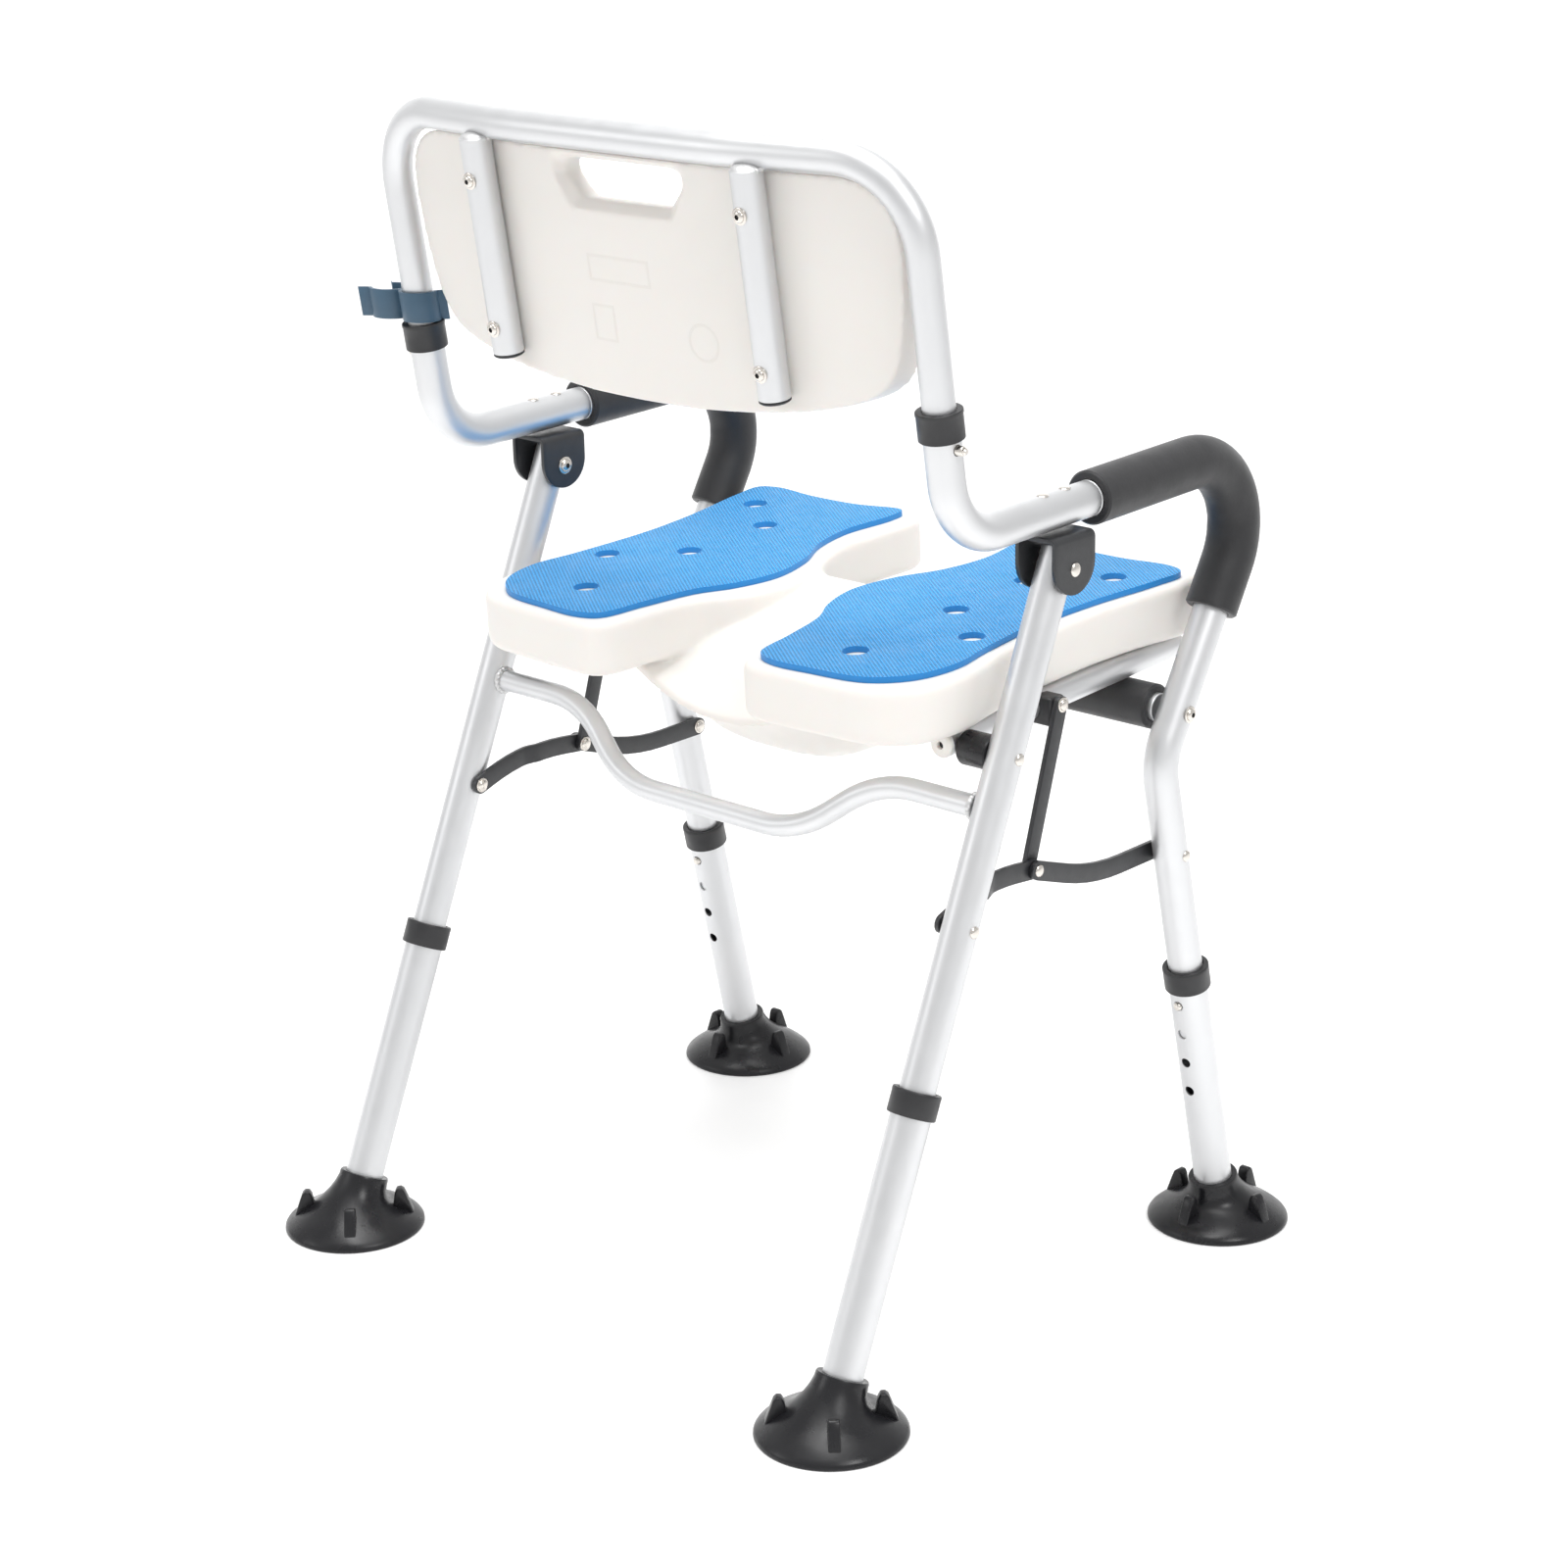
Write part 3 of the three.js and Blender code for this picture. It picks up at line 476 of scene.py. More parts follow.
def skin_of(rings, closed):
    """Quads between successive rings; an open skin gets a face on each end."""
    count = len(rings[0])
    vertices = [v for ring in rings for v in ring]
    total = len(rings)
    faces = []
    for i in range(total if closed else total - 1):
        a, b = i * count, ((i + 1) % total) * count
        for k in range(count):
            m = (k + 1) % count
            faces.append((a + k, a + m, b + m, b + k))
    if not closed:
        faces.append(tuple(reversed(range(count))))
        faces.append(tuple(range((total - 1) * count, total * count)))
    return vertices, faces


def tube(name, corners, radius, inner, facets, lip=0.5, wrinkle=None):
    """A bent tube or rod with softened end edges. wrinkle(station, angle) adds to the radius."""
    stations = bent(corners)
    axes = frames(stations)

    def ring(i, r, shift=0.0, outer=True):
        t, n, b = axes[i]
        made = []
        for direction in spokes(n, b, facets):
            extra = wrinkle(stations[i], direction) if wrinkle and outer else 0.0
            made.append(stations[i] + t * shift + direction * (r + extra))
        return made

    last = len(stations) - 1
    rings = [ring(0, radius - lip), ring(0, radius, lip)]
    rings += [ring(i, radius) for i in range(1, last)]
    rings += [ring(last, radius, -lip), ring(last, radius - lip)]
    if inner:
        rings += [ring(last, inner + lip / 2), ring(last, inner, -lip, False)]
        rings += [ring(i, inner, 0.0, False) for i in range(last - 1, 0, -1)]
        rings += [ring(0, inner, lip, False), ring(0, inner + lip / 2)]
    return new_object(name, *skin_of(rings, bool(inner)))


def spokes(x, y, count):
    """Directions all the way round in the plane of x and y."""
    turns = [2 * math.pi * k / count for k in range(count)]
    return [x * math.cos(a) + y * math.sin(a) for a in turns]


def axes_along(direction, first):
    """Axes x, y and z, with z along the direction and x square to `first` if that isn't along z."""
    z = Vector(direction).normalized()
    start = Vector(first)
    if abs(z.dot(start)) >= 0.9:
        start = Vector((1, 0, 0))
    x = start.cross(z).normalized()
    return x, z.cross(x), z


def turned(name, profile, base, direction, facets):
    """A solid of revolution with flat ends: profile is (radius, height) pairs from end to end."""
    x, y, z = axes_along(direction, (0, 0, 1))
    around = spokes(x, y, facets)
    rings = [[Vector(base) + z * height + out * radius for out in around]
             for radius, height in profile]
    return new_object(name, *skin_of(rings, False))


def prism(name, outline, place, depth):
    """A flat outline extruded by depth; place(u, v, w) gives the point in millimetres."""
    count = len(outline)
    vertices = [place(u, v, w) for w in (0, depth) for u, v in outline]
    faces = [tuple(range(count)), tuple(reversed(range(count, 2 * count)))]
    faces += [(k, (k + 1) % count, count + (k + 1) % count, count + k) for k in range(count)]
    return new_object(name, vertices, faces)


def smooth_loop(points, steps):
    """A closed centripetal Catmull-Rom curve through the points."""
    knots = [Vector(p) for p in points]
    count = len(knots)
    made = []
    for i in range(count):
        p = [knots[(i + k - 1) % count] for k in range(4)]
        t = [0.0]
        for k in range(3):
            t.append(t[-1] + math.sqrt((p[k + 1] - p[k]).length))
        for step in range(steps):
            u = t[1] + (t[2] - t[1]) * step / steps

            def between(a, b, ta, tb):
                return a * ((tb - u) / (tb - ta)) + b * ((u - ta) / (tb - ta))

            a1 = between(p[0], p[1], t[0], t[1])
            a2 = between(p[1], p[2], t[1], t[2])
            a3 = between(p[2], p[3], t[2], t[3])
            b1 = between(a1, a2, t[0], t[2])
            b2 = between(a2, a3, t[1], t[3])
            made.append(between(b1, b2, t[1], t[2]))
    return [(v.x, v.y) for v in made]


def mirror_of(points, sign):
    return [(x * sign, y) for x, y in points]


# ---------- places on the side frames
def at(x, p):
    return Vector((x, p[0], p[1]))


def mix(a, b, t):
    return (a[0] + (b[0] - a[0]) * t, a[1] + (b[1] - a[1]) * t)


def at_height(a, b, z):
    return mix(a, b, (z - a[1]) / (b[1] - a[1]))


def beyond(a, b, distance):
    return mix(a, b, distance / math.dist(a, b))


def arm_at(y):
    return mix(ELBOW_CORNER, ARM_CORNER, (y - ELBOW_CORNER[0]) / (ARM_CORNER[0] - ELBOW_CORNER[0]))


def back_y(z):
    slope = (SOCKET_TOP[0] - ELBOW_CORNER[0]) / (SOCKET_TOP[1] - ELBOW_CORNER[1])
    return SOCKET_TOP[0] + slope * (z - SOCKET_TOP[1])


BACK_SLOPE = back_y(1) - back_y(0)
LEGS = {
    "rear": {
        "high": FOLD_PIVOT, "low": REAR_LEG_ANKLE, "faces": -1, "foot_y": FOOT_Y, "tab_turn": 0.5,
    },
    "front": {
        "high": FRONT_LEG_KNEE, "low": FRONT_LEG_ANKLE, "faces": 1, "foot_y": -FOOT_Y, "tab_turn": 0,
    },
}


def leg_at(leg, x, z):
    return at(x, at_height(leg["high"], leg["low"], z))


def leg_down(leg):
    y, z = leg["low"][0] - leg["high"][0], leg["low"][1] - leg["high"][1]
    return Vector((0, y, z)).normalized()


def leg_out(leg):
    """The direction that the snap buttons of a leg point in, square to the leg."""
    down = leg_down(leg)
    return Vector((0, -down.z, down.y)) * leg["faces"]


def on_leg(leg, x, below_top):
    return leg_at(leg, x, SLEEVE_TOP_Z) + leg_down(leg) * below_top


# ---------- fasteners
DOME = [(1.0, 0.0), (1.0, 0.25), (0.93, 0.50), (0.75, 0.74), (0.48, 0.90), (0.2, 0.98)]


def dome_head(name, base, direction, radius, height, body, washer=0.0, nodes=(), shank=0.0):
    """A rivet or button head on a surface, with an optional washer under it and shank behind it."""
    profile = [(radius * 0.55, -shank), (radius * 0.55, -0.4)] if shank else [(radius * 0.9, -0.4)]
    rise = 0.0
    if washer:
        profile += [(washer - 0.3, 0.0), (washer, 0.3), (washer, 0.9), (washer - 0.4, 1.2)]
        rise = 1.2
    profile += [(radius * r, rise + height * h) for r, h in DOME]
    return piece(turned(name, profile, base, direction, 28), NICKEL, body, *nodes)


def socket_head(name, base, direction, radius, height, body, washer, nodes=(), shank=0.0):
    """A button-head screw with a hexagonal socket."""
    head = dome_head(name, base, direction, radius, height, body, washer, nodes, shank)
    top = Vector(base) + Vector(direction).normalized() * (1.2 + height * 0.35)
    hexagon = [(radius * 0.45, 0), (radius * 0.45, height * 2)]
    combine(head, [turned(name + "_cutter", hexagon, top, direction, 6)])
    # A near-black disc at the bottom of the hexagonal socket is painted shade.
    floor = [(radius * 0.44, 0), (radius * 0.44, height * 0.12)]
    under = top - Vector(direction) * 0.05
    piece(turned(name + "_socket", floor, under, direction, 6), PAINTED_RECESS_SHADE, body)


def weld_bead(name, centre, direction, ring_radius, bead, body, lumps=15):
    """A ring of weld with the ripple of its separate puddles."""
    x, y, z = axes_along(direction, (0, 1, 0))
    rings = []
    around, across = lumps * 5, 10
    for i in range(around):
        a = 2 * math.pi * i / around
        out = x * math.cos(a) + y * math.sin(a)
        swell = bead * (1 + 0.16 * math.sin(lumps * a) + 0.10 * math.sin(3 * a + 1))
        ring = []
        for k in range(across):
            b = 2 * math.pi * k / across
            from_axis = ring_radius + swell * math.cos(b)
            ring.append(Vector(centre) + out * from_axis + z * swell * math.sin(b))
        rings.append(ring)
    piece(new_object(name, *skin_of(rings, True)), WELD, body)


def hole_cutter(centre, direction):
    return turned("cutter", [(HOLE_R, 4), (HOLE_R, 20)], centre, direction, 24)


# ---------- side frames
def elbow_and_socket(side, s):
    x = s * SIDE_X
    elbow = tube(f"elbow_{side}", [
        (at(x, SOCKET_TOP), 0), (at(x, ELBOW_CORNER), ELBOW_BEND), (at(x, arm_at(ARM_JOINT_Y)), 0),
    ], TUBE_R, TUBE_R - TUBE_WALL, 48)
    button = Vector((x, back_y(BACK_BUTTON_Z), BACK_BUTTON_Z))
    outward = Vector((s, 0, 0))
    combine(elbow, [hole_cutter(button, outward)])
    piece(elbow, ALUMINIUM, "front_frame", f"elbow_tube_{side}")
    for n, y in enumerate((-2.3, -25.8)):
        base = at(x, arm_at(y)) + Vector((0, 0, TUBE_R - 0.35))
        dome_head(f"arm_rivet_{side}_{n}", base, (0, 0.03, 1), 4.3, 1.3, "front_frame")

    low, high = (at(x, at_height(ELBOW_CORNER, SOCKET_TOP, z)) for z in SOCKET_COLLAR)
    length = (high - low).length
    wall = TUBE_R + 0.1
    collar = turned(f"collar_{side}", [
        (wall, 0), (15.0, 0), (15.5, 0.5), (15.5, length - 3), (15.9, length - 2.4),
        (15.9, length - 0.5), (15.4, length), (BACK_R + 0.5, length), (BACK_R + 0.3, length - 1),
        (BACK_R + 0.3, length - 1.3), (wall, length - 1.4),
    ], low, high - low, 48)
    piece(open_bore(collar), BLACK_PLASTIC, "front_frame", f"socket_collar_{side}")

    pin = turned(f"back_pin_{side}", [
        (2.6, BACK_R - 3), (3.4, BACK_R - 3), (3.4, TUBE_R + 4.0), (3.0, TUBE_R + 4.8),
        (2.4, TUBE_R + 5.1), (2.4, TUBE_R + 6.4), (1.5, TUBE_R + 7.2),
    ], button, outward, 24)
    piece(pin, NICKEL, f"back_button_{side}", f"back_button_{side}")


def open_bore(made):
    """Drops the two end caps of a turned ring and joins its first and last rims."""

    def join_rims(shape):
        caps = [f for f in shape.faces if len(f.verts) > 4]
        rims = [e for f in caps for e in f.edges]
        bmesh.ops.delete(shape, geom=caps, context="FACES_ONLY")
        bmesh.ops.bridge_loops(shape, edges=list(set(rims)))

    reshaped(made.data, join_rims)
    return made


def front_leg(side, s):
    x = s * SIDE_X
    low = at_height(FRONT_LEG_KNEE, FRONT_LEG_ANKLE, LEG_TUBE_LOW_Z)
    leg = tube(f"front_leg_{side}", [
        (at(x, arm_at(ARM_JOINT_Y - 0.2)), 0), (at(x, ARM_CORNER), ARM_BEND),
        (at(x, FRONT_LEG_KNEE), KNEE_BEND), (at(x, low), 0),
    ], TUBE_R, TUBE_R - TUBE_WALL, 48)
    piece(leg, ALUMINIUM, "front_frame", f"front_leg_{side}")

    crease = at(x, GRIP_CREASE)

    def wrinkle(station, direction):
        """Fine creases where the foam is squeezed on the inside of the bend."""
        closeness = max(0.0, 1 - (station - crease).length / GRIP_CREASE_REACH)
        inward = max(0.0, direction.dot((crease - station).normalized()) - 0.2)
        return -0.9 * closeness * inward * abs(math.sin((station.y - station.z) * 0.55))

    grip = tube(f"grip_{side}", [
        (at(x, arm_at(ARM_JOINT_Y - 1)), 0), (at(x, ARM_CORNER), ARM_BEND),
        (at(x, at_height(ARM_CORNER, FRONT_LEG_KNEE, GRIP_LOW_Z)), 0),
    ], GRIP_R, TUBE_R + 0.2, 56, 1.4, wrinkle)
    piece(grip, FOAM, "front_frame", f"arm_grip_{side}")

    outer = Vector((s, 0, 0))
    hinge = at(x, SEAT_PIVOT)
    socket_head(f"seat_bolt_{side}", hinge + outer * (TUBE_R - 0.2), outer, 4.6, 2.4, "front_frame",
                6.1, [f"seat_hinge_bolt_{side}"], 25)
    dome_head(f"strut_rivet_front_{side}", at(x, FRONT_STRUT_PIVOT) + outer * (TUBE_R - 0.3),
              outer, 4.2, 2.2, "front_frame")


# The ears of the arm bracket, one on each side of the rear leg.
EAR_INNER = TUBE_R + 1.5
EAR_THICK = 3
EAR_HALF = 21.5
EAR_TOP = 581


def arm_bracket(side, s):
    """A strip folded over the rear leg: flat on top, with a round-ended ear down each side."""
    x = s * SIDE_X
    mid = EAR_INNER + EAR_THICK / 2
    bend = 3.2
    top = EAR_TOP - EAR_THICK / 2
    round_z = FOLD_PIVOT[1] + 4
    rows = []
    for k in range(13):
        a = math.pi / 2 * k / 12
        rows.append((mid, round_z - EAR_HALF * math.cos(a), max(EAR_HALF * math.sin(a), 0.6)))
    rows.append((mid, (round_z + top - bend) / 2, EAR_HALF))
    for k in range(7):
        a = math.pi / 2 * k / 6
        rows.append((mid - bend * (1 - math.cos(a)), top - bend + bend * math.sin(a), EAR_HALF))
    rows.append((0, top, EAR_HALF))
    rows += [(-w, z, half) for w, z, half in reversed(rows[:-1])]
    columns = 12
    vertices = [(x + s * w, FOLD_PIVOT[0] + half * (2 * k / columns - 1), z)
                for w, z, half in rows for k in range(columns + 1)]
    starts = [i * (columns + 1) + k for i in range(len(rows) - 1) for k in range(columns)]
    faces = [(a, a + 1, a + columns + 2, a + columns + 1) for a in starts]
    bracket = new_object(f"bracket_{side}", vertices, faces)
    thicken = bracket.modifiers.new("thick", "SOLIDIFY")
    thicken.thickness = EAR_THICK * MM
    thicken.offset = 0
    applied(bracket)
    bevelled(bracket, 0.5, 2)
    piece(bracket, BLACK_STEEL, "front_frame", f"arm_bracket_{side}")

    outer = Vector((s, 0, 0))
    pivot = at(x, FOLD_PIVOT)
    face = EAR_INNER + EAR_THICK
    dome_head(f"arm_bolt_{side}", pivot + outer * (face - 0.1), outer, 5.0, 2.4, "front_frame",
              0.0, [f"arm_pivot_bolt_{side}"], 2 * face)
    socket_head(f"arm_nut_{side}", pivot - outer * (face - 0.1), -outer, 4.8, 2.6, "front_frame", 6.6)


def rear_leg(side, s):
    x = s * SIDE_X
    top = beyond(FOLD_PIVOT, REAR_LEG_ANKLE, -12)
    low = at_height(FOLD_PIVOT, REAR_LEG_ANKLE, LEG_TUBE_LOW_Z)
    path = [(at(x, top), 0), (at(x, low), 0)]
    leg = tube(f"rear_leg_{side}", path, TUBE_R, TUBE_R - TUBE_WALL, 48)
    piece(leg, ALUMINIUM, "rear_frame", f"rear_leg_{side}")

    outer = Vector((s, 0, 0))
    stop = at(x, at_height(FOLD_PIVOT, REAR_LEG_ANKLE, SEAT_STOP_Z))
    dome_head(f"stop_rivet_{side}", stop + outer * (TUBE_R - 0.3), outer, 4.4, 2.4, "rear_frame")
    dome_head(f"strut_rivet_rear_{side}", at(x, REAR_STRUT_PIVOT) + outer * (TUBE_R - 0.3),
              outer, 4.4, 2.4, "rear_frame")
    stub = turned(f"stop_{side}", [
        (11.6, TUBE_R - 3.5), (12.4, TUBE_R - 2.5), (12.4, 32.8), (11.7, 33.8), (4.5, 34), (3.6, 31),
    ], stop, -outer, 36)
    piece(stub, RUBBER, "rear_frame", f"seat_stop_{side}")


def leg_extension(side, s, place, leg):
    x = s * SIDE_X
    name = f"{place}_{side}"
    body = f"leg_{name}"
    down, out = leg_down(leg), leg_out(leg)
    top, low = (leg_at(leg, x, z) for z in (SLEEVE_TOP_Z, SLEEVE_LOW_Z))
    sleeve = tube(f"sleeve_{name}", [(top, 0), (low, 0)], SLEEVE_R, TUBE_R + 0.3, 48)
    holes = [hole_cutter(on_leg(leg, x, BUTTON_BELOW_TOP + HOLE_PITCH * n), out) for n in range(4)]
    combine(sleeve, holes)
    piece(sleeve, ALUMINIUM, body, f"leg_sleeve_{name}")

    collar = turned(f"leg_collar_{name}", [
        (SLEEVE_R + 0.2, 17.8), (16.7, 17.8), (17.1, 17.2), (17.1, 3.0), (17.2, 2.4), (17.2, 0.6),
        (16.8, 0), (TUBE_R + 0.9, 0), (TUBE_R + 0.6, 0.8), (TUBE_R + 0.6, 2.3), (SLEEVE_R + 0.2, 2.5),
    ], top - down * 2.4, down, 48)
    piece(open_bore(collar), BLACK_PLASTIC, body, f"leg_collar_{name}")

    pin = turned(f"pin_{name}", [
        (2.6, 9.5), (3.3, 9.5), (3.3, SLEEVE_R + 0.7), (3.0, SLEEVE_R + 1.6), (2.2, SLEEVE_R + 2.25),
        (1.0, SLEEVE_R + 2.55),
    ], on_leg(leg, x, BUTTON_BELOW_TOP), out, 24)
    piece(pin, NICKEL, f"button_{name}", f"snap_button_{name}")

    suction_foot(name, x, leg, body)


FOOT_SKIN = [                  # (share of the way from the sole to the neck's axis, radius, height)
    (0.0, 49.0, 0.0), (0.0, 52.8, 0.2), (0.0, 53.4, 1.2), (0.0, 53.2, 2.8), (0.0, 52.0, 4.6),
    (0.0, 49.5, 6.8), (0.02, 46.0, 9.3), (0.06, 41.5, 12.0), (0.14, 36.5, 14.4), (0.28, 31.0, 17.2),
    (0.48, 26.2, 20.6), (0.7, 22.4, 24.8), (0.88, 20.0, 29.5), (1.0, 18.9, 34.5), (1.0, 18.8, 37.0),
    (1.0, 18.2, 38.2),
]


def suction_foot(name, x, leg, body):
    """Lofted rubber cup: a round sole that turns into a neck along the leg, with four lift tabs."""
    up = -leg_down(leg)
    upright = Vector((0, 0, 1))
    rings = []
    for share, radius, height in FOOT_SKIN:
        sole = Vector((x, leg["foot_y"], height))
        neck = leg_at(leg, x, height)
        centre = sole.lerp(neck, share)
        normal = upright.lerp(up, share).normalized()
        across = Vector((1, 0, 0))
        fore = normal.cross(across)
        rings.append([centre + out * radius for out in spokes(across, fore, 64)])
    foot = new_object(f"foot_{name}", *skin_of(rings, False))
    mouth = leg_at(leg, x, 15)
    bore = [(SLEEVE_R + 0.2, 0), (SLEEVE_R + 0.2, 80)]
    combine(foot, [turned("cutter", bore, mouth, up, 48)])
    piece(foot, RUBBER, body, f"suction_foot_{name}")
    for n in range(4):
        angle = (n + leg["tab_turn"]) * math.pi / 2
        lift_tab(f"tab_{name}_{n}", Vector((x, leg["foot_y"], 0)), angle, body)


TAB = [                        # outline of a lift tab, as (distance from the foot's middle, height)
    (29.5, 12), (46, 6.5), (45.2, 11), (41.2, 22), (39, 27.5), (36.8, 29.4), (33.4, 29),
    (31.8, 26), (30.4, 18),
]


def lift_tab(name, centre, angle, body):
    """A finger tab that stands up from the flange."""
    out = Vector((math.cos(angle), math.sin(angle), 0))
    side = Vector((-out.y, out.x, 0))
    half = 4.3

    def place(u, v, w):
        return centre + out * u + Vector((0, 0, v)) + side * (w - half)

    tab = prism(name, TAB, place, 2 * half)
    piece(bevelled(tab, 1.1, 3), RUBBER, body)


# ---------- folding struts
def strut_outline(corners, half):
    """Outline of a strip of constant width with round ends, along (y, z) corners."""
    stations = bent([((y, z, 0), r) for y, z, r in corners], 4)
    along = tangents(stations)
    normals = [Vector((-t.y, t.x, 0)) for t in along]
    right = [p - n * half for p, n in zip(stations, normals)]
    left = [p + n * half for p, n in zip(stations, normals)]

    def cap(centre, t, n):
        return [centre + (t * math.sin(a) - n * math.cos(a)) * half
                for a in (math.pi * k / 12 for k in range(1, 12))]

    outline = right + cap(stations[-1], along[-1], normals[-1])
    outline += left[::-1] + cap(stations[0], -along[0], -normals[0])
    return [(v.x, v.y) for v in outline]


def strip(name, corners, half, side_x, s, inward, thick, step=0.0):
    """A flat bar whose outer face is `inward` millimetres inside the side frame's tube axis.

    In front of STRUT_STEP_Y it lies `step` further in.
    """

    def place(u, v, w):
        share = min(max((STRUT_STEP_Y + 5 - u) / 10, 0), 1)
        return Vector((side_x - s * (inward + step * share + w), u, v))

    bar = prism_sliced(name, strut_outline(corners, half), place, thick, 48)
    return bevelled(bar, 0.6, 2)


def folding_struts(side, s):
    x = s * SIDE_X
    inner = Vector((-s, 0, 0))
    front_strut, rear_strut, link = (f"{n}_{side}" for n in ("front_strut", "rear_strut", "lift_link"))
    front_path = [(*FRONT_STRUT_PIVOT, 0), (-80, 313.5, 190), (*STRUT_MIDDLE, 0)]
    rear_path = [(*REAR_STRUT_PIVOT, 0), (38, 340.5, 170), (*STRUT_MIDDLE, 0)]
    link_path = [(*STRUT_MIDDLE, 0), (*LINK_TOP, 0)]
    piece(strip(f"strut_front_{side}", front_path, STRUT_HALF, x, s, STRUT_IN, STRUT_THICK),
          BLACK_STEEL, front_strut, front_strut)
    piece(strip(f"strut_rear_{side}", rear_path, STRUT_HALF, x, s, STRUT_IN, STRUT_THICK, STRUT_PITCH),
          BLACK_STEEL, rear_strut, rear_strut)
    link_in = STRUT_IN + 2 * STRUT_PITCH
    piece(strip(f"link_{side}", link_path, 6, x, s, link_in, LINK_THICK), BLACK_STEEL, link, link)

    face = STRUT_IN + STRUT_THICK - 0.1
    rivets = {                 # name: (pivot, how far in, facing, radius, body, washer, shank)
        "joint_rivet_inner": (STRUT_MIDDLE, link_in + LINK_THICK - 0.1, inner, 4.4, link, 5.6, 0),
        "joint_rivet_outer": (STRUT_MIDDLE, STRUT_IN + 0.1, -inner, 4.4, front_strut, 0, 8),
        "pivot_rivet_inner": (REAR_STRUT_PIVOT, face, inner, 4.4, rear_strut, 5.6, 0),
        "pivot_rivet_front": (FRONT_STRUT_PIVOT, face, inner, 4.4, front_strut, 5.6, 0),
        "link_rivet": (LINK_TOP, link_in + 0.1, -inner, 4.2, link, 5.4, 14),
    }
    for name, (pivot, depth, facing, radius, body, washer, shank) in rivets.items():
        dome_head(f"{name}_{side}", at(x, pivot) + inner * depth, facing, radius, 2.2, body,
                  washer, (), shank)


# ---------- rear cross bar
def cross_bar():
    """It lies in the plane of the rear legs and dips in the middle."""
    high, low = (at_height(FOLD_PIVOT, REAR_LEG_ANKLE, z) for z in CROSS_BAR_Z)
    corners = [(TUBE_R - 1 - SIDE_X, high, 0)]
    corners += [(-x, p, CROSS_BAR_BEND) for x, p in zip(CROSS_BAR_X, (high, low))]
    corners += [(-x, p, bend) for x, p, bend in reversed(corners)]
    bar = tube("cross_bar", [(at(x, p), bend) for x, p, bend in corners], CROSS_BAR_R, 0, 40)
    piece(bar, ALUMINIUM, "rear_frame", "rear_cross_bar")
    for side, s in SIDES.items():
        weld_bead(f"weld_cross_{side}", at(s * (SIDE_X - TUBE_R - 0.6), high), (1, 0, 0),
                  CROSS_BAR_R + 0.6, 2.0, "rear_frame")


# ---------- seat
LOBE = [                       # left lobe from above: front edge, outer side, rear, inner side
    (60, -234), (110, -228), (160, -227), (200, -231), (219, -226), (221, -205), (213, -165),
    (207, -110), (208, -50), (215, 10), (221, 45), (213, 82), (190, 102), (150, 108), (105, 110),
    (79, 109), (68, 99), (62, 58), (51, 15), (32, -10), (24, -45), (30, -82), (45, -112),
    (55, -145), (54, -185), (52, -222),
]
PAD_OUTLINE = [                # left pad, in the same order
    (68, -224), (110, -216), (155, -215), (195, -219), (210, -212), (209, -185), (200, -125),
    (197, -70), (203, 0), (208.5, 38), (200, 72), (176, 94), (130, 101), (95, 102), (79, 94),
    (71, 57), (61, 15), (46, -12), (37, -48), (45, -88), (61, -120), (69, -160), (64, -208),
]
DRAIN_HOLES = [(178, -174), (130, -134), (132, -52), (180, -12), (133, 56)]
DRAIN_R = 9.5


def seat_point(x, y, w):
    """A point of the seat's own frame, which tips up towards the front."""
    tip = math.atan(SEAT_TILT)
    return Vector((x, y * math.cos(tip) + w * math.sin(tip),
                   SEAT_BOTTOM_Z + w * math.cos(tip) - y * math.sin(tip)))


def seat_shell():
    lobes = [prism(f"lobe_{s}", mirror_of(smooth_loop(LOBE, 6), s), seat_point, SEAT_THICK)
             for s in (-1, 1)]
    for lobe in lobes:
        bevelled(lobe, 6.5, 4, 60)
    shell = combine(lobes[0], [lobes[1], bowl()], "UNION")
    remeshed(shell, 2.2, 7)
    piece(shell, SHELL, "seat", "seat_shell")


BOWL_ROWS = [                  # (y, height of its floor, of its underside, half width, squareness)
    (-103, 29, 16, 70, 3), (-97, 32, 0, 84, 4), (-86, 33, -28, 91, 5), (-68, 32, -58, 95, 5.5),
    (-42, 28, -74, 96, 5.5), (-15, 22, -74, 95, 5), (2, 17, -69, 94, 4.2), (17, 9, -60, 93, 3.4),
    (32, -2, -47, 93, 2.7), (45, -14, -37, 92, 2.3), (54, -22, -33, 91, 2.1), (59, -27, -33, 88, 2.1),
]
BOWL_SHARES = [1, 0.92, 0.8, 0.65, 0.45, 0.22, 0, -0.22, -0.45, -0.65, -0.8, -0.92, -1]


def bowl():
    """The bridge between the lobes: it slopes down to the rear and hangs below them."""
    rings = []
    for y, top, low, half, squareness in BOWL_ROWS:
        under_rise, floor_rise = max(0, -5 - low), max(0, 4 - top)
        under = [(u, low + under_rise * abs(u) ** squareness) for u in BOWL_SHARES]
        floor = [(u, top + floor_rise * abs(u) ** 2.2) for u in reversed(BOWL_SHARES)]
        rings.append([seat_point(half * u, y, w) for u, w in under + floor])
    return new_object("bowl", *skin_of(rings, False))


def seat_pads():
    for side, s in SIDES.items():
        outline = mirror_of(smooth_loop(PAD_OUTLINE, 7), s)

        def place(u, v, w):
            return seat_point(u, v, SEAT_THICK + 0.1 + w)

        pad = prism(f"pad_{side}", outline, place, PAD_THICK)
        cutters = [turned("cutter", [(DRAIN_R, -3), (DRAIN_R, 9)], place(s * x, y, 0),
                          (0, SEAT_TILT, 1), 40) for x, y in DRAIN_HOLES]
        combine(pad, cutters)
        bevelled(pad, 0.7, 2, 50)
        piece(pad, PAD, "seat", f"seat_pad_{side}")


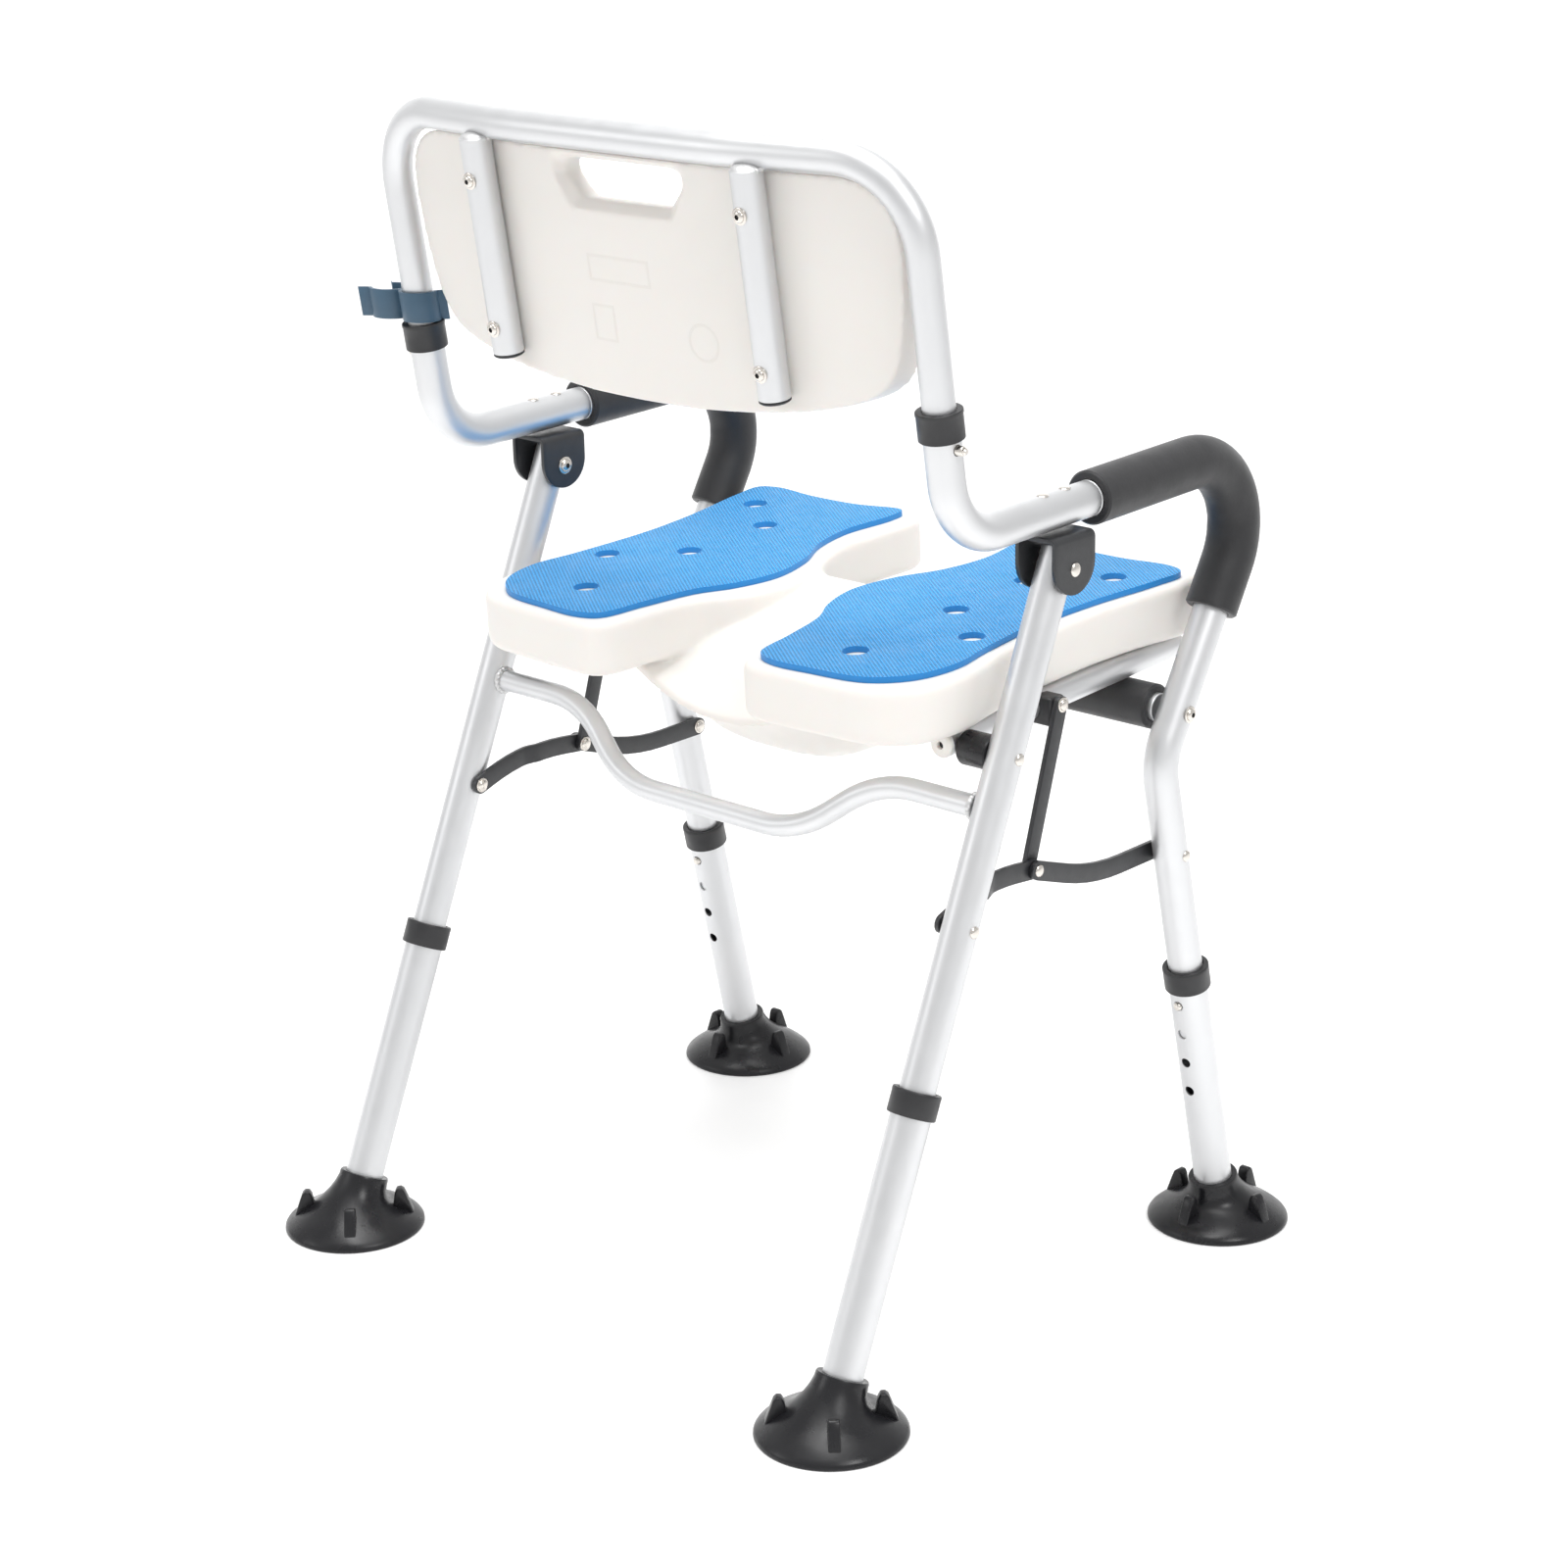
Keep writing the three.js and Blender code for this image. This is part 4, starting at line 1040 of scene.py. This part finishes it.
def seat_rails(side, s):
    x = s * RAIL_X

    def rail_at(y):
        return Vector((x, y, RAIL_Z - SEAT_TILT * y))

    path = [(rail_at(y), 0) for y in RAIL_ENDS_Y]
    rail = tube(f"rail_{side}", path, RAIL_R, RAIL_R - 1.5, 40)
    piece(rail, ALUMINIUM, "seat", f"seat_rail_{side}")
    along = rail_at(1) - rail_at(0)
    end = rail_at(RAIL_ENDS_Y[1])
    plug = turned(f"plug_{side}", [
        (RAIL_R - 1.8, -12), (RAIL_R - 1.8, 0.1), (RAIL_R, 0.2), (RAIL_R, 2.2), (RAIL_R - 0.9, 3.4),
        (RAIL_R - 2.5, 3.9), (3.0, 4.0), (2.6, 3.4), (2.6, 1.0),
    ], end, along, 36)
    piece(plug, SHELL, "seat", f"rail_plug_{side}")
    # A near-black disc at the bottom of the plug's hole is painted shade.
    hole_shade = turned(f"plug_hole_shade_{side}", [(2.5, 1.05), (2.5, 1.3)], end, along, 24)
    piece(hole_shade, PAINTED_RECESS_SHADE, "seat")

    near = x - s * 12
    far = s * (SIDE_X - STRUT_IN - 2 * STRUT_PITCH - LINK_THICK - 0.5)
    (front, rear), (low, high) = (LINK_TOP[0] - SADDLE_HALF, LINK_TOP[0] + SADDLE_HALF), SADDLE_Z
    outline = [(front, low), (rear, low), (rear, high), (front, high)]

    def place(u, v, w):
        return Vector((near + s * w, u, v))

    saddle = prism(f"saddle_{side}", outline, place, abs(far - near))
    bore_line = [(RAIL_R + 0.1, -60), (RAIL_R + 0.1, 60)]
    bore = turned("cutter", bore_line, rail_at(LINK_TOP[0]), along, 40)
    bevelled(saddle, 2.2, 3)
    piece(combine(saddle, [bore]), BLACK_PLASTIC, "seat", f"rail_saddle_{side}")


def seat_front_tube():
    reach = SIDE_X - TUBE_R - 1
    tube_ends = [(at(s * reach, SEAT_PIVOT), 0) for s in (-1, 1)]
    piece(tube("front_tube", tube_ends, FRONT_TUBE_R, 9, 40), ALUMINIUM, "seat", "front_cross_tube")
    roll_ends = [(at(s * (reach - 3.5), SEAT_PIVOT), 0) for s in (-1, 1)]
    roll = tube("roll", roll_ends, ROLL_R, FRONT_TUBE_R + 0.1, 48, 1.4)
    piece(roll, FOAM, "seat", "foam_roll")


# ---------- backrest
def back_point(x, z, behind):
    return Vector((x, back_y(z) + behind, z))


def panel_bow(x):
    return PANEL_CURVE * x * x


def back_frame():
    buttons = [Vector((s * SIDE_X, back_y(BACK_BUTTON_Z), BACK_BUTTON_Z)) for s in (-1, 1)]
    corners = [
        (-SIDE_X, BACK_LOW_Z, 0, 0), (-BACK_HALF_WIDTH, BACK_TOP_Z, 0, BACK_CORNER_BEND),
        (-BACK_BOW_X, BACK_TOP_Z, BACK_BOW, BACK_BOW_BEND),
    ]
    corners += [(-x, *rest) for x, *rest in reversed(corners)]
    path = [(back_point(x, z, back), bend) for x, z, back, bend in corners]
    frame_tube = tube("back_tube", path, BACK_R, BACK_R - TUBE_WALL, 48)
    combine(frame_tube, [hole_cutter(b, (b.x, 0, 0)) for b in buttons])
    piece(frame_tube, ALUMINIUM, "backrest", "back_tube")

    behind = Vector((0, 1, -BACK_SLOPE)).normalized()
    up = Vector((0, BACK_SLOPE, 1)).normalized()
    for side, s in SIDES.items():
        low = back_point(s * SUPPORT_X, SUPPORT_LOW_Z, SUPPORT_BEHIND)
        high = back_point(s * SUPPORT_X, SUPPORT_TOP_Z, SUPPORT_BEHIND)
        support = tube(f"support_{side}", [(low, 0), (high, 0)], BACK_R, BACK_R - TUBE_WALL, 48)
        piece(support, ALUMINIUM, "backrest", f"back_support_{side}")
        plug = turned(f"support_plug_{side}", [
            (BACK_R - 1.5, 8), (BACK_R - 1.5, -0.1), (BACK_R - 0.1, -0.2), (BACK_R - 0.1, -1.4),
            (BACK_R - 1.2, -2.2), (BACK_R - 4, -2.5),
        ], low, up, 36)
        piece(plug, BLACK_PLASTIC, "backrest")
        for n, z in enumerate(SUPPORT_SCREWS_Z):
            base = back_point(s * SUPPORT_X, z, SUPPORT_BEHIND) + behind * (BACK_R - 0.5)
            socket_head(f"panel_screw_{side}_{n}", base, behind, 4.3, 2.3, "backrest", 6.0)
        weld_bead(f"weld_support_{side}", back_point(s * SUPPORT_X, 834, 21.5), (0, 0.42, 0.91),
                  BACK_R - 0.8, 2.2, "backrest", 17)
        cap = [(BACK_R, -1.5), (BACK_R - 1.2, 0.9), (7.6, 2.2), (4.0, 3.0), (0.6, 3.2)]
        piece(turned(f"weld_cap_{side}", cap, high, up, 36), WELD, "backrest")


PANEL_CORNERS = [              # half outline of the panel, from the bottom middle round to the top
    (0, 660), (60, 661.5), (110, 666), (150, 672), (186, 681.5), (207, 693), (219, 711), (225.5, 736),
    (229, 765), (229, 795), (222.5, 813.5), (209.5, 825), (193, 830), (150, 831), (80, 831),
]
SLOT_CORNERS = [
    (-48, 824.5), (48, 824.5), (55.5, 820.5), (55.5, 812.5), (41, 797), (-41, 797), (-55.5, 812.5),
    (-55.5, 820.5),
]


def back_panel():
    other_half = mirror_of(PANEL_CORNERS[:0:-1], -1)
    outline = smooth_loop(PANEL_CORNERS + [(0, 831)] + other_half, 4)
    rear = SUPPORT_BEHIND - BACK_R - 0.4 + panel_bow(SUPPORT_X)
    columns = 60

    def curved(u, v, w):
        return Vector((u, back_y(v) + rear - panel_bow(u) - w, v))

    slab = prism_sliced("panel", outline, curved, PANEL_THICK, columns)
    slot = prism("cutter", SLOT_CORNERS, lambda u, v, w: Vector((u, back_y(v) + 60 - w, v)), 120)
    bevelled(slot, 3.0, 3, 20)
    combine(slab, [slot, slot_funnel(rear)])
    remeshed(slab, 1.7, 5)
    piece(slab, PANEL, "backrest", "back_panel")


def slot_funnel(rear):
    """The sloping bevel round the hand slot on the panel's rear face."""
    middle = 811
    wide = [(x + math.copysign(9, x), middle + (z - middle) * 1.55) for x, z in SLOT_CORNERS]
    rings = []
    for behind, loop in ((-8, SLOT_CORNERS), (1, wide)):
        rings.append([Vector((x, back_y(z) + rear + behind, min(z, 828.5))) for x, z in loop])
    return new_object("cutter", *skin_of(rings, False))


def prism_sliced(name, outline, place, depth, columns):
    """A prism that is cut into columns across u, so that place() can bend it."""
    made = prism(name, outline, lambda u, v, w: Vector((u, v, w)), depth)
    low = min(u for u, _ in outline)
    high = max(u for u, _ in outline)

    def slice_and_bend(shape):
        for k in range(1, columns):
            u = (low + (high - low) * k / columns) * MM
            bmesh.ops.bisect_plane(shape, geom=shape.verts[:] + shape.edges[:] + shape.faces[:],
                                   plane_co=(u, 0, 0), plane_no=(1, 0, 0))
        for vertex in shape.verts:
            vertex.co = place(*(vertex.co / MM)) * MM

    reshaped(made.data, slice_and_bend)
    return made


# ---------- hose clip
CLIP_LOW_Z = 685.5
CLIP_HEIGHT = 22
CLIP_WALL = 2.6
CLIP_JAW_R = 13.5
CLIP_JAW_X = 30.5              # from the backrest tube to the middle of the jaws
CLIP_LIP_TURN = 0.6            # radians that the lips turn outwards
CLIP_LIP_THIN = 0.6            # millimetres that the lips are thinner than the wall
CLIP_WEB = [(12.2, -6), (16.7, -6), (16.7, 6), (12.2, 6)]


def clip_place(u, v, w):
    return Vector((SIDE_X + u, back_y(CLIP_LOW_Z) + v + BACK_SLOPE * w, CLIP_LOW_Z + w))


def clip_ring(name, cx, inner, mouth, half_gap, lip):
    """A C-shaped ring round (cx, 0), open towards the angle `mouth`, with flared lips."""
    outer = inner + CLIP_WALL
    start, end = mouth + half_gap, mouth - half_gap + 2 * math.pi

    def on_ring(radius, angle, reach=0, turn=0):
        return (cx + radius * math.cos(angle) + reach * math.cos(mouth + turn),
                radius * math.sin(angle) + reach * math.sin(mouth + turn))

    arc = [start + (end - start) * k / 40 for k in range(41)]
    outline = [on_ring(outer, a) for a in arc]
    tip = inner + CLIP_LIP_THIN
    outline += [on_ring(r, end, lip, -CLIP_LIP_TURN) for r in (outer, tip)]
    outline += [on_ring(inner, a) for a in reversed(arc)]
    outline += [on_ring(r, start, lip, CLIP_LIP_TURN) for r in (tip, outer)]
    return prism(name, outline, clip_place, CLIP_HEIGHT)


def hose_clip():
    """It grips the left backrest tube, open to the front, and holds a shower hose outboard."""
    hug = clip_ring("clip", 0, BACK_R + 0.5, mouth=-math.pi / 2, half_gap=0.87, lip=6)
    jaws = clip_ring("clip_jaws", CLIP_JAW_X, CLIP_JAW_R, mouth=0, half_gap=0.8, lip=8)
    web = prism("clip_web", CLIP_WEB, clip_place, CLIP_HEIGHT)
    clip = combine(hug, [jaws, web], "UNION")
    piece(bevelled(clip, 0.5, 2, 50), CLIP, "hose_clip", "hose_clip_L")


# ---------- the whole chair
for side, s in SIDES.items():
    elbow_and_socket(side, s)
    front_leg(side, s)
    arm_bracket(side, s)
    rear_leg(side, s)
    for place, leg in LEGS.items():
        leg_extension(side, s, place, leg)
    folding_struts(side, s)
    seat_rails(side, s)
cross_bar()
seat_shell()
seat_pads()
seat_front_tube()
back_frame()
back_panel()
hose_clip()


# ---------- floor and light
FLOOR = 30000                  # half size of the floor
BACKDROP = (5000, 7000, 4000)  # distance, half width and height of the sheet behind the chair
BEHIND = Vector((-math.sin(CAMERA_AZIMUTH), math.cos(CAMERA_AZIMUTH)))   # away from the camera
ASIDE = Vector((-BEHIND.y, BEHIND.x))


def white_sheet(name, corners, tone, roughness, glow):
    sheet = new_object(name, corners, [(0, 1, 3, 2)])
    look = Surface(name + "_paper", (tone, tone, tone), roughness, Emission_Color=(1, 1, 1, 1),
                   Emission_Strength=glow)
    look.mottle(look.noise(3), 0.01)
    sheet.data.materials.append(look.material)
    return sheet


def make_stage():
    corners = [(x, y, 0) for y in (-FLOOR, FLOOR) for x in (-FLOOR, FLOOR)]
    floor = white_sheet("floor", corners, tone=0.92, roughness=0.75, glow=0.14)
    distance, half, high = BACKDROP
    feet = [BEHIND * distance + ASIDE * u for u in (-half, half)]
    corners = [(*foot, z) for z in (0, high) for foot in feet]
    backdrop = white_sheet("backdrop", corners, tone=0.9, roughness=0.8, glow=0.5)

    world = bpy.data.worlds.new("studio")
    world.use_nodes = True
    background = world.node_tree.nodes["Background"]
    background.inputs["Color"].default_value = (1, 1, 1, 1)
    background.inputs["Strength"].default_value = 0.74
    bpy.context.scene.world = world
    bpy.context.scene.view_settings.view_transform = "Standard"

    lights = {                 # name: (position, size, watts)
        "key": ((-2.4, 0.6, 2.6), 1.0, 30),
        "fill": ((1.8, 2.4, 1.6), 1.2, 8),
        "top": ((0.0, 0.2, 3.0), 1.6, 62),
    }
    for name, (place, size, watts) in lights.items():
        light = in_scene(name, bpy.data.lights.new(name, "AREA"))
        light.data.size = size
        light.data.energy = watts
        light.location = place
        aim = Vector((0, 0, 0.45)) - Vector(place)
        light.rotation_euler = aim.to_track_quat("-Z", "Y").to_euler()


make_stage()
